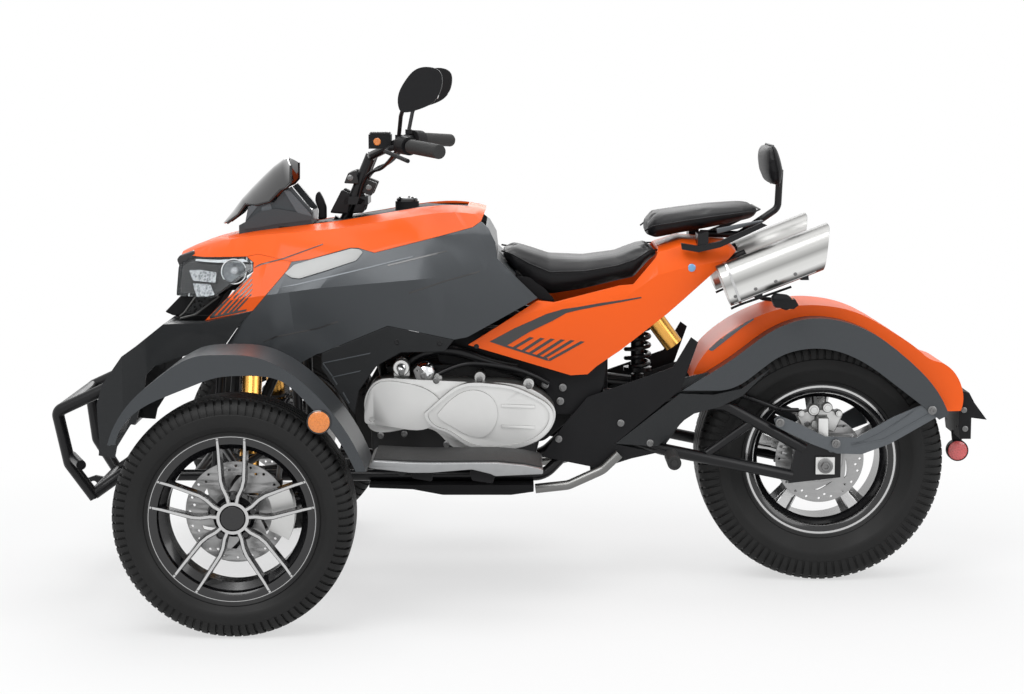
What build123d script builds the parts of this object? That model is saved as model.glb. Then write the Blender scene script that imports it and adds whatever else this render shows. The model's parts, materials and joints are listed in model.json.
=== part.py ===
"""Motor trike: two steered front wheels, one driven rear wheel, open engine and plastic bodywork.

Frame: +X forward, +Y to the rider's left, +Z up, in millimetres.
The origin is on the ground, under the centre of the whole machine.
"""

import os
from math import cos, radians, sin

from build123d import *

# Driving dimensions: wheels and stance
front_axle_x = 655
rear_axle_x = -760
half_track = 580
front_tyre_radius = 277
front_tyre_width = 165
rear_tyre_radius = 311
rear_tyre_width = 205
bead_radius = 178
flange_radius = 193
rim_wall = 7
well_depth = 16
front_rim_width = 134
rear_rim_width = 164
spoke_count = 5

# Driving dimensions: clearances
running_gap = 0.4
seam_gap = 0.8
seat_gap = 0.3
disc_gap = 5

# Driving dimensions: steering
kingpin_y = 530
kingpin_reach = 92
steering_arm = 90
rod_eye = 13
column_rake = 24.8
column_top_x = 430
column_top_z = 940
pitman_z = 365
pitman_arm = 90
lever_z = 347
rod_step = 22
column_radius = 13
arm_eye = 20

# Driving dimensions: bodywork
panel_thick = 5
console_half = 92
fender_inner_y = 470
fender_outer_y = 668
fender_thick = 5
rear_fender_half = 112
rear_arch_half = 170
swing_cover_half = 168
seat_half = 150

# Driving dimensions: running gear
frame_tube = 14
frame_half = 150
frame_low_z = 285
swing_tube = 15
swing_half = 146
bar_tube = 11
bull_tube = 15
front_disc_radius = 118
rear_disc_radius = 112
disc_thick = 5
tow_eye = (1095, 233)
tow_eye_radius = 9
tow_plate_thick = 10
plate_hole_radius = 3.5
plate_hole_spacing = 120
spindle_radius = 14
rear_spindle_radius = 10
engine_half = 130
cover_face_y = 262
silencer_y = 195
silencer_slope = 21.5
silencer_half_width = 46
silencer_half_height = 52
footboard_inner_y = 268
footboard_outer_y = 470

os.makedirs("parts", exist_ok=True)


def save(part, name):
    """Label a finished piece and write it as its own STEP file."""
    part.label = name
    export_step(part, f"parts/{name}.step")


def side_sketch(points, y, shrink=0):
    """A side-view outline of (x, z) corners, on the plane at y."""
    with BuildSketch(Plane.XZ.offset(-y)) as sketch:
        Polygon(*points, align=None)
        if shrink:
            offset(amount=-shrink, kind=Kind.INTERSECTION, mode=Mode.REPLACE)
    return sketch.sketch


def smooth_plate(top, low, outer_y, thick, mode=Mode.ADD):
    """A side-view band between two smooth (x, z) curves that run opposite ways, outer_y to outer_y - thick."""
    with BuildSketch(Plane.XZ.offset(-outer_y)) as sketch:
        with BuildLine():
            over = Spline(*top)
            under = Spline(*low)
            Line(over @ 1, under @ 0)
            Line(under @ 1, over @ 0)
        make_face()
    extrude(sketch.sketch, amount=thick, mode=mode)


def closed_plate(points, outer_y, thick, mode=Mode.ADD):
    """A side-view plate inside a closed smooth curve, from outer_y to the right by thick."""
    with BuildSketch(Plane.XZ.offset(-outer_y)) as sketch:
        with BuildLine():
            Spline(*points, periodic=True)
        make_face()
    extrude(sketch.sketch, amount=thick, mode=mode)


def plan_sketch(half_outline, shrink=0):
    """A plan-view outline from its left-hand (x, y) corners, mirrored to the right."""
    with BuildSketch(Plane.XY) as sketch:
        Polygon(*half_outline, *[(x, -y) for x, y in reversed(half_outline)], align=None)
        if shrink:
            offset(amount=-shrink, kind=Kind.INTERSECTION, mode=Mode.REPLACE)
    return sketch.sketch


def side_plate(points, outer_y, thick, shrink=0, mode=Mode.ADD):
    """A side-view outline, extruded from y = outer_y towards the right by thick."""
    extrude(side_sketch(points, outer_y, shrink), amount=thick, mode=mode)


def tube(points, radius, bend=0, mode=Mode.ADD):
    """A round bar along a route of straight runs and arcs, in the open part."""
    with BuildLine() as route:
        if len(points) == 2:
            Line(*points)
        else:
            FilletPolyline(*points, radius=bend)
    with BuildSketch(Plane(origin=route.line @ 0, z_dir=route.line % 0)) as section:
        Circle(radius)
    sweep(section.sketch, path=route.line, mode=mode)


def across(x, z, y_high, y_low, radius, mode=Mode.ADD):
    """A round bar along Y, in the open part."""
    with BuildSketch(Plane.XZ.offset(-y_high)) as section:
        with Locations((x, z)):
            Circle(radius)
    extrude(section.sketch, amount=y_high - y_low, mode=mode)


def upright(x, y, z_low, z_high, radius, mode=Mode.ADD):
    """A round bar along Z, in the open part."""
    with BuildSketch(Plane.XY.offset(z_low)) as section:
        with Locations((x, y)):
            Circle(radius)
    extrude(section.sketch, amount=z_high - z_low, mode=mode)


def block(x, y, z, mode=Mode.ADD):
    """A box from three (low, high) pairs, in the open part."""
    with Locations(((x[0] + x[1]) / 2, (y[0] + y[1]) / 2, (z[0] + z[1]) / 2)):
        Box(x[1] - x[0], y[1] - y[0], z[1] - z[0], mode=mode)


def lofted(stations, inset=0, ruled=False):
    """A closed body lofted along X through half rings of (y, z) corners, mirrored in Y."""
    with BuildPart() as body:
        for x, *corners in stations:
            ring = corners + [(-y, z) for y, z in reversed(corners)]
            with BuildSketch(Plane(origin=(x, 0, 0), x_dir=(0, 1, 0), z_dir=(1, 0, 0))):
                Polygon(*ring, align=None)
                if inset:
                    offset(amount=-inset, kind=Kind.INTERSECTION, mode=Mode.REPLACE)
        loft(ruled=ruled)
    return body.part


# The bodywork's outer form. Each row is x, then console edge, shoulder, seam, widest, knee, foot.
skin_stations = [
    (-70, (60, 800), (110, 788), (170, 760), (215, 716), (224, 640), (216, 420)),
    (60, (85, 935), (135, 922), (192, 885), (236, 800), (238, 650), (222, 420)),
    (200, (95, 955), (155, 940), (212, 885), (252, 790), (244, 650), (226, 420)),
    (380, (95, 928), (165, 912), (222, 855), (256, 775), (248, 640), (230, 420)),
    (560, (95, 903), (160, 892), (222, 828), (256, 755), (250, 620), (235, 420)),
    (720, (80, 880), (130, 872), (196, 820), (238, 735), (232, 610), (220, 420)),
    (850, (50, 836), (80, 830), (130, 800), (165, 750), (170, 610), (160, 420)),
]
skin = lofted(skin_stations)
skin_inside = lofted(skin_stations, panel_thick)

# Side-view seams shared by neighbouring panels, as (x, z)
cowl_seam = [(96, 920), (116, 907), (354, 848), (394, 859), (414, 859), (512, 832), (556, 826)]
cowl_front_seam = [(556, 826), (566, 806), (649, 709)]
lamp_edge = [(640, 842), (669, 836), (650, 823), (650, 801)]
leg_seam = [(484, 605), (322, 672), (160, 637)]
fairing_seam = [(649, 709), (678, 680), (718, 623)]
wide = 400


def skin_panel(outline):
    """The bodywork's wall inside a side-view outline, on both sides."""
    with BuildPart() as wall:
        add(skin)
        add(skin_inside, mode=Mode.SUBTRACT)
        side_plate(outline, wide, 2 * wide, seam_gap / 2, Mode.INTERSECT)
    return wall.part


# Upper cowl, orange: the hood over the tank, open in the middle for the console
hood_outline = cowl_seam + lamp_edge[:2] + [(778, 831), (846, 832), (846, 1000), (60, 1000)]
console_back, console_front = 130, 600
with BuildPart() as hood:
    add(skin_panel(hood_outline))
    block((console_back, console_front), (-console_half, console_half), (800, 1000), Mode.SUBTRACT)
save(hood.part, "hood")

# The steering column's line
head = Vector(column_top_x, 0, column_top_z)
lean = Vector(-sin(radians(column_rake)), 0, cos(radians(column_rake)))
column_plane = Plane(origin=head, x_dir=(cos(radians(column_rake)), 0, sin(radians(column_rake))),
    z_dir=lean)
column_low = (pitman_z - column_top_z) / lean.Z
head_tube_radius = 27

# Console between the hood's edges, with the fuel cap behind the steering head
console_top = [(239, 950), (336, 934), (442, 918), (540, 902)]
with BuildPart() as console:
    rim = [(console_back + seam_gap, 946)] + console_top + [(console_front - seam_gap, 902)]
    low = [(x, z - 22) for x, z in reversed(rim)]
    side_plate(rim + low, console_half - seam_gap, 2 * (console_half - seam_gap))
    with BuildSketch(column_plane.offset(-120)) as head_hole:
        Circle(head_tube_radius + 3)
    extrude(head_hole.sketch, amount=240, mode=Mode.SUBTRACT)
    upright(285, 0, 925, 960, 30)
save(console.part, "console")

# Side cowls, orange: the panel with the fan stripes, beside each headlamp
side_cowl_outline = cowl_front_seam + [(771, 681), (650, 801), (650, 823), (669, 836), (640, 842)]
with BuildPart() as side_cowls:
    add(skin_panel(side_cowl_outline))
save(side_cowls.part, "side_cowls")

# Side panels, grey metallic, closing the tank's rear end between the knees
side_outline_points = (
    cowl_seam
    + cowl_front_seam[1:]
    + fairing_seam[1:]
    + [(645, 603), (544, 575), (494, 603)]
    + leg_seam
    + [(129, 643), (-43, 737), (56, 834), (60, 871), (77, 904)]
)
with BuildPart() as side_panels:
    add(skin)
    with BuildPart(mode=Mode.PRIVATE) as hollow:
        add(skin_inside)
        block((-100, 84), (-wide, wide), (790, 1000), Mode.SUBTRACT)
    add(hollow.part, mode=Mode.SUBTRACT)
    side_plate(side_outline_points, wide, 2 * wide, seam_gap / 2, Mode.INTERSECT)
    block((-100, 900), (-seam_gap / 2, seam_gap / 2), (400, 1000), Mode.SUBTRACT)
save(side_panels.part, "side_panels")

# Leg panels, black textured, ahead of and above the engine
leg_outline = leg_seam + [(184, 607), (290, 605), (350, 572), (393, 511), (405, 450), (485, 567)]
with BuildPart() as leg_panels:
    add(skin_panel(leg_outline))
save(leg_panels.part, "leg_panels")

# Headlamps fill the nose's two corners; the chin and grille stand between and below them
lamp_inner = 55
lamp_outline = [(669, 836), (650, 823), (650, 801), (690, 776), (746, 738), (846, 738), (846, 831),
    (778, 831)]
with BuildPart() as headlamps:
    add(skin)
    side_plate(lamp_outline, wide, 2 * wide, seam_gap / 2, Mode.INTERSECT)
    block((600, 900), (-lamp_inner, lamp_inner), (700, 900), Mode.SUBTRACT)
    with BuildPart(mode=Mode.PRIVATE) as lamp_back:
        add(lofted(skin_stations, 60))
        block((820, 900), (-wide, wide), (600, 1000), Mode.SUBTRACT)
    add(lamp_back.part, mode=Mode.SUBTRACT)
save(headlamps.part, "headlamps")

chin_half = 105
with BuildPart() as grille:
    side_plate([(846, 830), (700, 830), (700, 739), (846, 739)], lamp_inner - seam_gap,
        2 * (lamp_inner - seam_gap))
    side_plate([(840, 737), (886, 690), (866, 681), (771, 681), (735, 737)], chin_half, 2 * chin_half)
    for slot in range(-2, 3):
        block((800, 900), (slot * 36 - 13, slot * 36 + 13), (690, 725), Mode.SUBTRACT)
save(grille.part, "grille")

bull_route = [(1000, 200, 520), (1140, 205, 455), (1118, 180, 320), (1060, 165, 232)]
bull_bend = 18

# Nose fairing: a sloping shield with a wall each side that runs down to the bull bar
fairing_plan = [(640, 246), (760, 262), (900, 300), (960, 304), (1040, 284)]
fairing_outline = [(649, 709), (771, 681), (861, 681), (926, 629), (961, 604), (1011, 535), (1027, 485)]
fairing_outline += [(1022, 387), (1025, 359), (983, 354), (977, 382), (942, 437), (929, 442), (908, 520)]
fairing_outline += [(902, 559), (882, 579), (773, 614), (718, 623), (678, 680)]
fairing_inside = [(640, 700), (771, 640), (861, 675), (923, 623), (957, 599), (1006, 532), (1021, 484)]
fairing_inside += [(1016, 387), (1016, 300), (640, 300)]
with BuildPart() as nose_fairing:
    side_plate(fairing_outline, wide, 2 * wide, seam_gap / 2)
    extrude(plan_sketch(fairing_plan), amount=1000, mode=Mode.INTERSECT)
    with BuildPart(mode=Mode.PRIVATE) as cavity:
        side_plate(fairing_inside, wide, 2 * wide)
        extrude(plan_sketch(fairing_plan, panel_thick), amount=1000, mode=Mode.INTERSECT)
    add(cavity.part, mode=Mode.SUBTRACT)
    block((640, 850), (-215, 215), (640, 720), Mode.SUBTRACT)
    block((900, 1060), (-170, 170), (340, 500), Mode.SUBTRACT)
    for side in (1, -1):
        tube([(x, side * y, z) for x, y, z in bull_route], bull_tube + seat_gap, bull_bend, Mode.SUBTRACT)
save(nose_fairing.part, "nose_fairing")

# Windscreen, dark and swept, on the instrument cowl
screen_outline = [(731, 911), (667, 995), (580, 1070), (565, 1060), (571, 1048), (655, 990), (724, 909)]
screen_plan = [(560, 60), (640, 105), (735, 62)]
with BuildPart() as windscreen:
    side_plate(screen_outline, 110, 220)
    extrude(plan_sketch(screen_plan), amount=1200, mode=Mode.INTERSECT)
save(windscreen.part, "windscreen")

cowl_outline = [(700, 860), (700, 905), (684, 912), (676, 952), (640, 963), (612, 962), (588, 990),
    (568, 1002)]
cowl_outline += [(519, 942), (519, 880)]
with BuildPart() as instrument_cowl:
    side_plate(cowl_outline, 88, 176)
    with BuildPart(mode=Mode.PRIVATE) as bowl:
        side_plate([(596, 975), (570, 1010), (500, 942), (560, 932)], 70, 140)
    add(bowl.part, mode=Mode.SUBTRACT)
    add(skin, mode=Mode.SUBTRACT)
    side_plate(rim + [(console_front + seam_gap, 902), (console_front + seam_gap, 800), (console_back,
        800)],
               wide, 2 * wide, 0, Mode.SUBTRACT)
    for y in (52, -34):
        side_plate([(636, 958), (670, 948), (671, 970.5), (657, 986.9)], y, 18)
save(instrument_cowl.part, "instrument_cowl")

# Seats and the tail body under them
rider_outline = [(46, 829), (48, 851), (26, 857), (-24, 838), (-74, 821), (-160, 824), (-249, 833),
    (-300, 850)]
rider_outline += [(-343, 852), (-334, 834), (-278, 772), (-246, 769), (-82, 729), (-47, 736)]
with BuildPart() as rider_seat:
    side_plate(rider_outline, seat_half, 2 * seat_half, seam_gap)
save(rider_seat.part, "rider_seat")

pillion_outline = [(-311, 872), (-313, 917), (-329, 934), (-475, 955), (-584, 959), (-595, 950),
    (-584, 922), (-335, 868)]
pillion_half = 135
with BuildPart() as pillion_seat:
    side_plate(pillion_outline, pillion_half, 2 * pillion_half)
save(pillion_seat.part, "pillion_seat")

tail_stations = [
    (140, (120, 790), (190, 720), (214, 650), (205, 600), (190, 500)),
    (-100, (120, 800), (185, 790), (205, 720), (196, 600), (180, 500)),
    (-250, (110, 840), (176, 820), (194, 730), (184, 620), (170, 520)),
    (-340, (104, 851), (152, 842), (180, 790), (170, 680), (156, 560)),
    (-400, (100, 871), (148, 860), (170, 805), (162, 700), (150, 560)),
    (-515, (86, 867), (126, 858), (146, 825), (140, 780), (126, 690)),
    (-545, (80, 842), (120, 836), (138, 815), (134, 790), (120, 700)),
]
tail_outline = [(129, 620), (-43, 729), (-82, 725), (-245, 765), (-277, 767), (-334, 831), (-343, 854)]
tail_outline += [(-340, 900), (-530, 900), (-536, 844), (-474, 788), (-362, 691), (-246, 602)]
tail_outline += [(-190, 564), (-167, 543), (-125, 541)]
with BuildPart() as tail_body:
    add(lofted(tail_stations, ruled=True))
    with BuildPart(mode=Mode.PRIVATE) as tail_hollow:
        add(lofted(tail_stations, panel_thick, ruled=True))
    add(tail_hollow.part, mode=Mode.SUBTRACT)
    side_plate(tail_outline, wide, 2 * wide, seam_gap / 2, Mode.INTERSECT)
save(tail_body.part, "tail_body")

# Grab rails, backrest post and pad
rail_y = 178
rail_outline = [(-394, 868), (-437, 861), (-488, 872), (-590, 918), (-604, 912), (-490, 858),
    (-437, 846), (-396, 853)]
with BuildPart() as grab_rails:
    side_plate(rail_outline, rail_y + 10, 20)
    side_plate([(-462, 850), (-436, 846), (-436, 889.4), (-462, 895)], rail_y - 6, rail_y - 106)
    mirror(about=Plane.XZ)
    add(lofted(tail_stations, ruled=True), mode=Mode.SUBTRACT)
save(grab_rails.part, "grab_rails")

post_route = [(-455, 0, 879), (-555, 0, 875.6), (-652, 0, 943), (-656, 0, 1040)]
post_radius, post_bend = 9, 25
with BuildPart() as backrest_post:
    tube(post_route, post_radius, post_bend)
save(backrest_post.part, "backrest_post")

pad_outline = [(-603, 1100), (-643, 1102), (-646, 1000), (-633, 987), (-609, 992), (-599, 1048)]
with BuildPart() as backrest_pad:
    side_plate(pad_outline, 120, 240)
    tube(post_route, post_radius + seat_gap, post_bend, Mode.SUBTRACT)
save(backrest_pad.part, "backrest_pad")

# Frame: cradle, spine, head tube, shock towers and the tail's rails
tower_x, tower_y, tower_z = front_axle_x, 221, 590
arm_low_z, arm_high_z = front_tyre_radius - kingpin_reach, front_tyre_radius + kingpin_reach
arm_pivot_y = 182
shock_foot_y = 372
arm_barrel = 16
arm_rise = 40
arm_spread = 110
shock_top_z = 724
cowl_lug, tail_lug = (560, 618), (-205, 655)
with BuildPart() as body_lugs:
    for side in (1, -1):
        tube([(cowl_lug[0], side * frame_half, cowl_lug[1]), (cowl_lug[0], side * wide, cowl_lug[1])], 7)
    add(skin_inside, mode=Mode.INTERSECT)
with BuildPart() as seat_lugs:
    for side in (1, -1):
        tube([(tail_lug[0], side * 112, tail_lug[1]), (tail_lug[0], side * wide, tail_lug[1])], 7)
    add(lofted(tail_stations, panel_thick, ruled=True), mode=Mode.INTERSECT)
with BuildPart() as frame:
    add(body_lugs.part)
    add(seat_lugs.part)
    for side in (1, -1):
        y = side * frame_half
        rear_y = side * (swing_half - swing_tube - frame_tube - seat_gap)
        tube([(980, y, frame_low_z), (-60, y, frame_low_z), (-205, rear_y, 430), (-205, rear_y, 702)],
            frame_tube, 60)
        tube([(-205, rear_y, 690), (-560, side * 110, 838)], frame_tube - 4)
        tube([(760, y, frame_low_z), (740, y, 560), (506, side * 20, 784)], frame_tube - 2, 60)
        tube([(545, y, frame_low_z), (560, y, 640)], frame_tube - 2)
        tube([(560, y, 604), (748, y, 575)], frame_tube - 3)
        tube([(tower_x, side * 145, tower_z), (tower_x, side * (tower_y + 14), tower_z)], frame_tube - 5)
        for x in (front_axle_x - arm_spread, front_axle_x + arm_spread):
            for z in (arm_low_z, arm_high_z):
                lug_y = sorted((side * 146, side * (arm_pivot_y - arm_barrel - seat_gap)))
                block((x - 9, x + 9), lug_y, (z + arm_rise - 12,
                    z + arm_rise + (60 if z < frame_low_z else 12)))
        tube([(506, side * 20, 772), (-205, rear_y, 640)], frame_tube - 3)
        for x in (50, 280):
            tube([(x, side * 145, frame_low_z + 20), (x, side * 240, 346.7), (x, side * 440, 346.7)],
                bar_tube - 2, 40)
        block((-562, -540), sorted((side * 98, side * 114)), (776, 838))
        block((-562, -540), sorted((side * 98, side * (silencer_y - silencer_half_width - seat_gap))),
            (776, 794))
    for x in (-40, 300, 500, 810, 960):
        across(x, frame_low_z, frame_half, -frame_half, frame_tube - 3)
    across(-300, shock_top_z + frame_tube - 6 + seat_gap, 116, -116, frame_tube - 6)
    across(-540, 831, 110, -110, frame_tube - 6)
    across(-205, 560, 116, -116, frame_tube - 4)
    across(-205, 680, 116, -116, frame_tube - 6)
    with BuildSketch(column_plane.offset(-300)) as outer_head:
        Circle(head_tube_radius)
    extrude(outer_head.sketch, amount=270)
    with BuildSketch(column_plane.offset(-700)) as column_bore:
        Circle(column_radius + running_gap)
    extrude(column_bore.sketch, amount=720, mode=Mode.SUBTRACT)
save(frame.part, "frame")

# Engine block, and its silver drive cover
engine_low = frame_low_z + frame_tube - 3 + seat_gap
engine_outline = [(350, engine_low), (372, 350), (372, 500), (330, 560), (100, 565), (-20, 520),
    (-70, 450), (-30, engine_low)]
with BuildPart() as engine:
    side_plate(engine_outline, engine_half, 2 * engine_half)
save(engine.part, "engine")

cover_outline = [(381, 466), (371, 513), (352, 534), (301, 541), (208, 536), (96, 532), (3, 525),
    (-62, 494)]
cover_outline += [(-86, 461), (-81, 428), (-48, 390), (22, 366), (92, 362), (171, 376), (208, 411),
    (372, 423)]
cover_lobe = [(380, 438), (376, 485), (352, 528), (291, 533), (216, 508), (196, 488), (190, 452),
    (228, 419), (302, 421), (357, 428)]
cover_drop = [(231, 461), (189, 499), (140, 530), (75, 532), (22, 525), (-39, 499), (-78, 466),
    (-80, 443), (-60, 407), (-16, 380)]
cover_drop += [(40, 370), (92, 369), (129, 379), (185, 414), (222, 432)]
cover_pad = [(200, 459), (172, 489), (129, 514), (96, 513), (62, 487), (55, 457), (64, 424), (96, 399),
    (120, 402), (172, 429)]
base_depth = cover_face_y - 24 - engine_half - seat_gap
with BuildPart() as drive_cover:
    closed_plate(cover_outline, cover_face_y - 24, base_depth)
    closed_plate(cover_lobe, cover_face_y - 12, 12)
    closed_plate(cover_drop, cover_face_y, 24)
    closed_plate([(x * 0.94 + 5, z * 0.90 + 45.5) for x, z in cover_drop], cover_face_y, 6, Mode.SUBTRACT)
    closed_plate(cover_pad, cover_face_y - 1, 6)
    for rib_z in (477, 426):
        side_plate([(46, rib_z + 4), (46, rib_z - 3), (-36, rib_z - 6), (-36, rib_z + 1)],
            cover_face_y - 2, 5)
    across(362, 442, cover_face_y - 10, cover_face_y - 18, 7, Mode.SUBTRACT)
    for x, z in ((290, 556), (236, 548), (205, 536), (99, 539), (-21, 523)):
        across(x, z, cover_face_y - 60, engine_half + seat_gap, 13)
save(drive_cover.part, "drive_cover")

# Belly pan and exhaust pipes under the engine
belly_top = frame_low_z - frame_tube - seat_gap
belly_outline = [(374, belly_top), (374, 262), (266, 258), (191, 244), (22, 244), (-34, 252),
    (-34, belly_top)]
with BuildPart() as belly_pan:
    side_plate(belly_outline, 200, 400)
save(belly_pan.part, "belly_pan")

# Footboards
board_outline = [(359, 382), (256, 371), (98, 375), (-50, 364), (-46, 356), (350, 356)]
board_under = [(340, 357), (330, 350), (262, 343), (250, 334), (150, 330), (140, 338), (70, 338),
    (60, 327), (-20, 333), (-40, 357)]
with BuildPart() as footboards:
    for outer in (footboard_outer_y, -footboard_inner_y):
        side_plate(board_outline, outer, footboard_outer_y - footboard_inner_y)
        side_plate(board_under, outer - 16, footboard_outer_y - footboard_inner_y - 32)
    for x in (50, 280):
        across(x, 346.7, 441, -441, bar_tube - 2 + seat_gap, Mode.SUBTRACT)
save(footboards.part, "footboards")

# Front mudguards: a channel over each front wheel, with a strip down to the footboard
guard_top = [(930, 452), (866, 560), (813, 604), (728, 652), (678, 656), (591, 650), (510, 610),
    (440, 545), (374, 450), (348, 391)]
guard_low = [(355, 391), (381, 448), (446, 541), (513, 604), (592, 643), (678, 649), (726, 645),
    (809, 598), (860, 555), (924, 450)]
guard_skirt = [(912, 452), (880, 512), (822, 551), (757, 577), (684, 604), (620, 609), (538, 597),
    (480, 547), (436, 498), (372, 391)]
with BuildPart() as front_mudguards:
    smooth_plate(guard_top, guard_low, fender_outer_y, fender_outer_y - fender_inner_y)
    smooth_plate(guard_top, guard_skirt[::-1], fender_outer_y, fender_thick)
    for reach in (-60, 60):
        tube([(tower_x + reach, fender_inner_y + 3, 643), (tower_x, tower_y + 22, tower_z)], 6)
    across(tower_x, tower_z, tower_y + 30, tower_y + 14 + seat_gap, 9)
    mirror(about=Plane.XZ)
save(front_mudguards.part, "front_mudguards")

# Bull bar
with BuildPart() as bull_bar:
    for side in (1, -1):
        tube([(x, side * y, z) for x, y, z in bull_route], bull_tube, bull_bend)
        tube([(1065, side * 300, 338), (1112, side * 176, 338)], bull_tube - 3)
        tube([(1062, side * 165, 240), (990, side * 150, frame_low_z + 6)], bull_tube - 1)
    across(1131, 458, 205, -205, bull_tube)
    across(1064, 240, 168, -168, bull_tube - 2)
    tow_plate = [(1060, 250), (1090, 256), (1114, 248), (1120, 232), (1110, 214), (1086, 210),
        (1060, 230)]
    side_plate(tow_plate, tow_plate_thick / 2, tow_plate_thick)
    across(tow_eye[0], tow_eye[1], 20, -20, tow_eye_radius, Mode.SUBTRACT)
save(bull_bar.part, "bull_bar")

# Silencers, angled up to the rear, cut off slantwise
slope = radians(silencer_slope)
silencer_front = (-497, 764)
silencer_length = 290
with BuildPart() as silencers:
    for side in (1, -1):
        start = Plane(origin=(silencer_front[0], side * silencer_y, silencer_front[1]),
                      x_dir=(0, 1, 0), z_dir=(-cos(slope), 0, sin(slope)))
        with BuildSketch(start) as shell_section:
            RectangleRounded(2 * silencer_half_width, 2 * silencer_half_height, 40)
        extrude(shell_section.sketch, amount=silencer_length)
        with BuildSketch(start.offset(90)) as mouth_section:
            RectangleRounded(2 * silencer_half_width - 6, 2 * silencer_half_height - 6, 37)
        extrude(mouth_section.sketch, amount=silencer_length, mode=Mode.SUBTRACT)
    side_plate([(-738, 780), (-752, 930), (-800, 1000), (-900, 800)], wide, 2 * wide, 0, Mode.SUBTRACT)
save(silencers.part, "silencers")

# Rear mudguard: orange crown, grey arches
crown_out = [(-429, 521), (-453, 574), (-519, 638), (-604, 684), (-689, 706), (-762, 706), (-842, 688),
    (-934, 638)]
crown_out += [(-996, 595), (-1028, 571), (-1058, 561), (-1109, 490), (-1105, 441)]
crown_in = [(-1098, 441), (-1101, 486), (-1052, 553), (-1024, 563), (-991, 588), (-930, 631), (-840, 681)]
crown_in += [(-761, 699), (-690, 699), (-606, 677), (-524, 632), (-459, 570), (-437, 521)]
arch_out = [(-402, 501), (-450, 531), (-533, 585), (-616, 646), (-705, 679), (-765, 679), (-855, 652),
    (-952, 585)]
arch_out += [(-1026, 510), (-1064, 440)]
arch_in = [(-1040, 428), (-997, 464), (-948, 501), (-857, 567), (-766, 603), (-712, 605), (-641, 585),
    (-552, 520), (-480, 501)]
flange_low = [(-1058, 440), (-1021, 507), (-948, 581), (-853, 647), (-765, 674), (-706, 674),
    (-618, 641), (-536, 581)]
flange_low += [(-453, 526), (-412, 502)]
with BuildPart() as rear_mudguard:
    smooth_plate(crown_out, crown_in, rear_fender_half, 2 * rear_fender_half)
    for outer in (rear_fender_half, panel_thick - rear_fender_half):
        smooth_plate(crown_out, arch_out[::-1], outer, panel_thick)
save(rear_mudguard.part, "rear_mudguard")

with BuildPart() as rear_arches:
    smooth_plate(arch_out, flange_low, rear_arch_half, rear_arch_half - rear_fender_half - seam_gap)
    smooth_plate(arch_out, arch_in, rear_arch_half, panel_thick)
    mirror(about=Plane.XZ)
save(rear_arches.part, "rear_arches")

# Swing arm and its covers
with BuildPart() as swing_arm:
    for side in (1, -1):
        y = side * swing_half
        tube([(-205, y, 490), (-512, y, 461), (-710, y, 352)], swing_tube, 60)
        tube([(-195, y, 405), (-351, y, 351), (-680, y, 283)], swing_tube, 100)
        tube([(-466, y, 339), (-574, y, 415)], swing_tube - 4)
        side_plate([(-690, 370), (-800, 350), (-800, 280), (-670, 265)], y + 9, 18)
    across(-300, 481, swing_half, -swing_half, swing_tube - 3)
    across(-285, 374, swing_half, -swing_half, swing_tube - 3)
    across(rear_axle_x, rear_tyre_radius, 200, -200, rear_spindle_radius + seat_gap, Mode.SUBTRACT)
save(swing_arm.part, "swing_arm")

carbon_outline = [(-235, 367), (-396, 494), (-480, 491), (-548, 506), (-626, 562), (-552, 488)]
carbon_outline += [(-498, 461), (-421, 440), (-343, 361)]
rear_cover_outline = [(-52, 335), (-106, 413), (-167, 485), (-246, 513), (-378, 560), (-422, 635),
    (-440, 622)]
rear_cover_outline += [(-398, 503), (-236, 367), (-343, 345), (-277, 330), (-199, 305)]
with BuildPart() as swing_covers:
    side_plate(carbon_outline, swing_cover_half + 2, 5, seam_gap / 2)
    side_plate(carbon_outline, 3 - swing_cover_half, 5, seam_gap / 2)
    for y in (swing_cover_half, -swing_half - swing_tube - seat_gap):
        across(-420, 469, y, y - swing_cover_half + swing_half + swing_tube + seat_gap, 6)
    add(rear_arches.part, mode=Mode.SUBTRACT)
save(swing_covers.part, "swing_covers")
with BuildPart() as frame_covers:
    side_plate(rear_cover_outline, swing_cover_half + 2, 5, seam_gap / 2)
    side_plate(rear_cover_outline, 3 - swing_cover_half, 5, seam_gap / 2)
    for y in (swing_cover_half, -swing_half - swing_tube - seat_gap):
        across(-214, 399, y, y - swing_cover_half + swing_half + swing_tube + seat_gap, 6)
save(frame_covers.part, "frame_covers")

stay_outline = [(-631, 428), (-643, 437), (-698, 415), (-758, 385), (-837, 382), (-926, 434),
    (-1028, 478)]
stay_outline += [(-1046, 440), (-921, 367), (-850, 340), (-789, 342), (-722, 367), (-637, 409)]
with BuildPart() as mudguard_stays:
    stay_face = rear_arch_half - panel_thick - seat_gap
    side_plate(stay_outline, stay_face, 6)
    side_plate(stay_outline, 6 - stay_face, 6)
    for y in (stay_face - 5, -swing_half - 9 - seat_gap):
        across(-775, 352, y, y - stay_face + 5 + swing_half + 9 + seat_gap, 8)
save(mudguard_stays.part, "mudguard_stays")

# Rear shock with its coil spring, and the gold reservoir beside it
shock_x, coil_count = -300, 7
with BuildPart() as rear_shock:
    upright(shock_x, 0, 481 + swing_tube - 3 + seat_gap, shock_top_z, 9)
    upright(shock_x, 0, 530, 690, 22.2)
    for z in (528, 688):
        upright(shock_x, 0, z, z + 10, 34)
    for coil in range(coil_count):
        with Locations((shock_x, 0, 546 + coil * 23)):
            Torus(28, 5.5)
save(rear_shock.part, "rear_shock")

with BuildPart() as shock_reservoir:
    tube([(-336, 78, 672), (-386, 78, 604)], 24)
    across(-336, 667, 78, 116, 7)
    tube([(shock_x, 0, 706), (-334, 74, 706), (-340, 78, 664)], 6, 14)
    upright(shock_x, 0, 690, 720, 9 + seat_gap, Mode.SUBTRACT)
save(shock_reservoir.part, "shock_reservoir")

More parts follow.
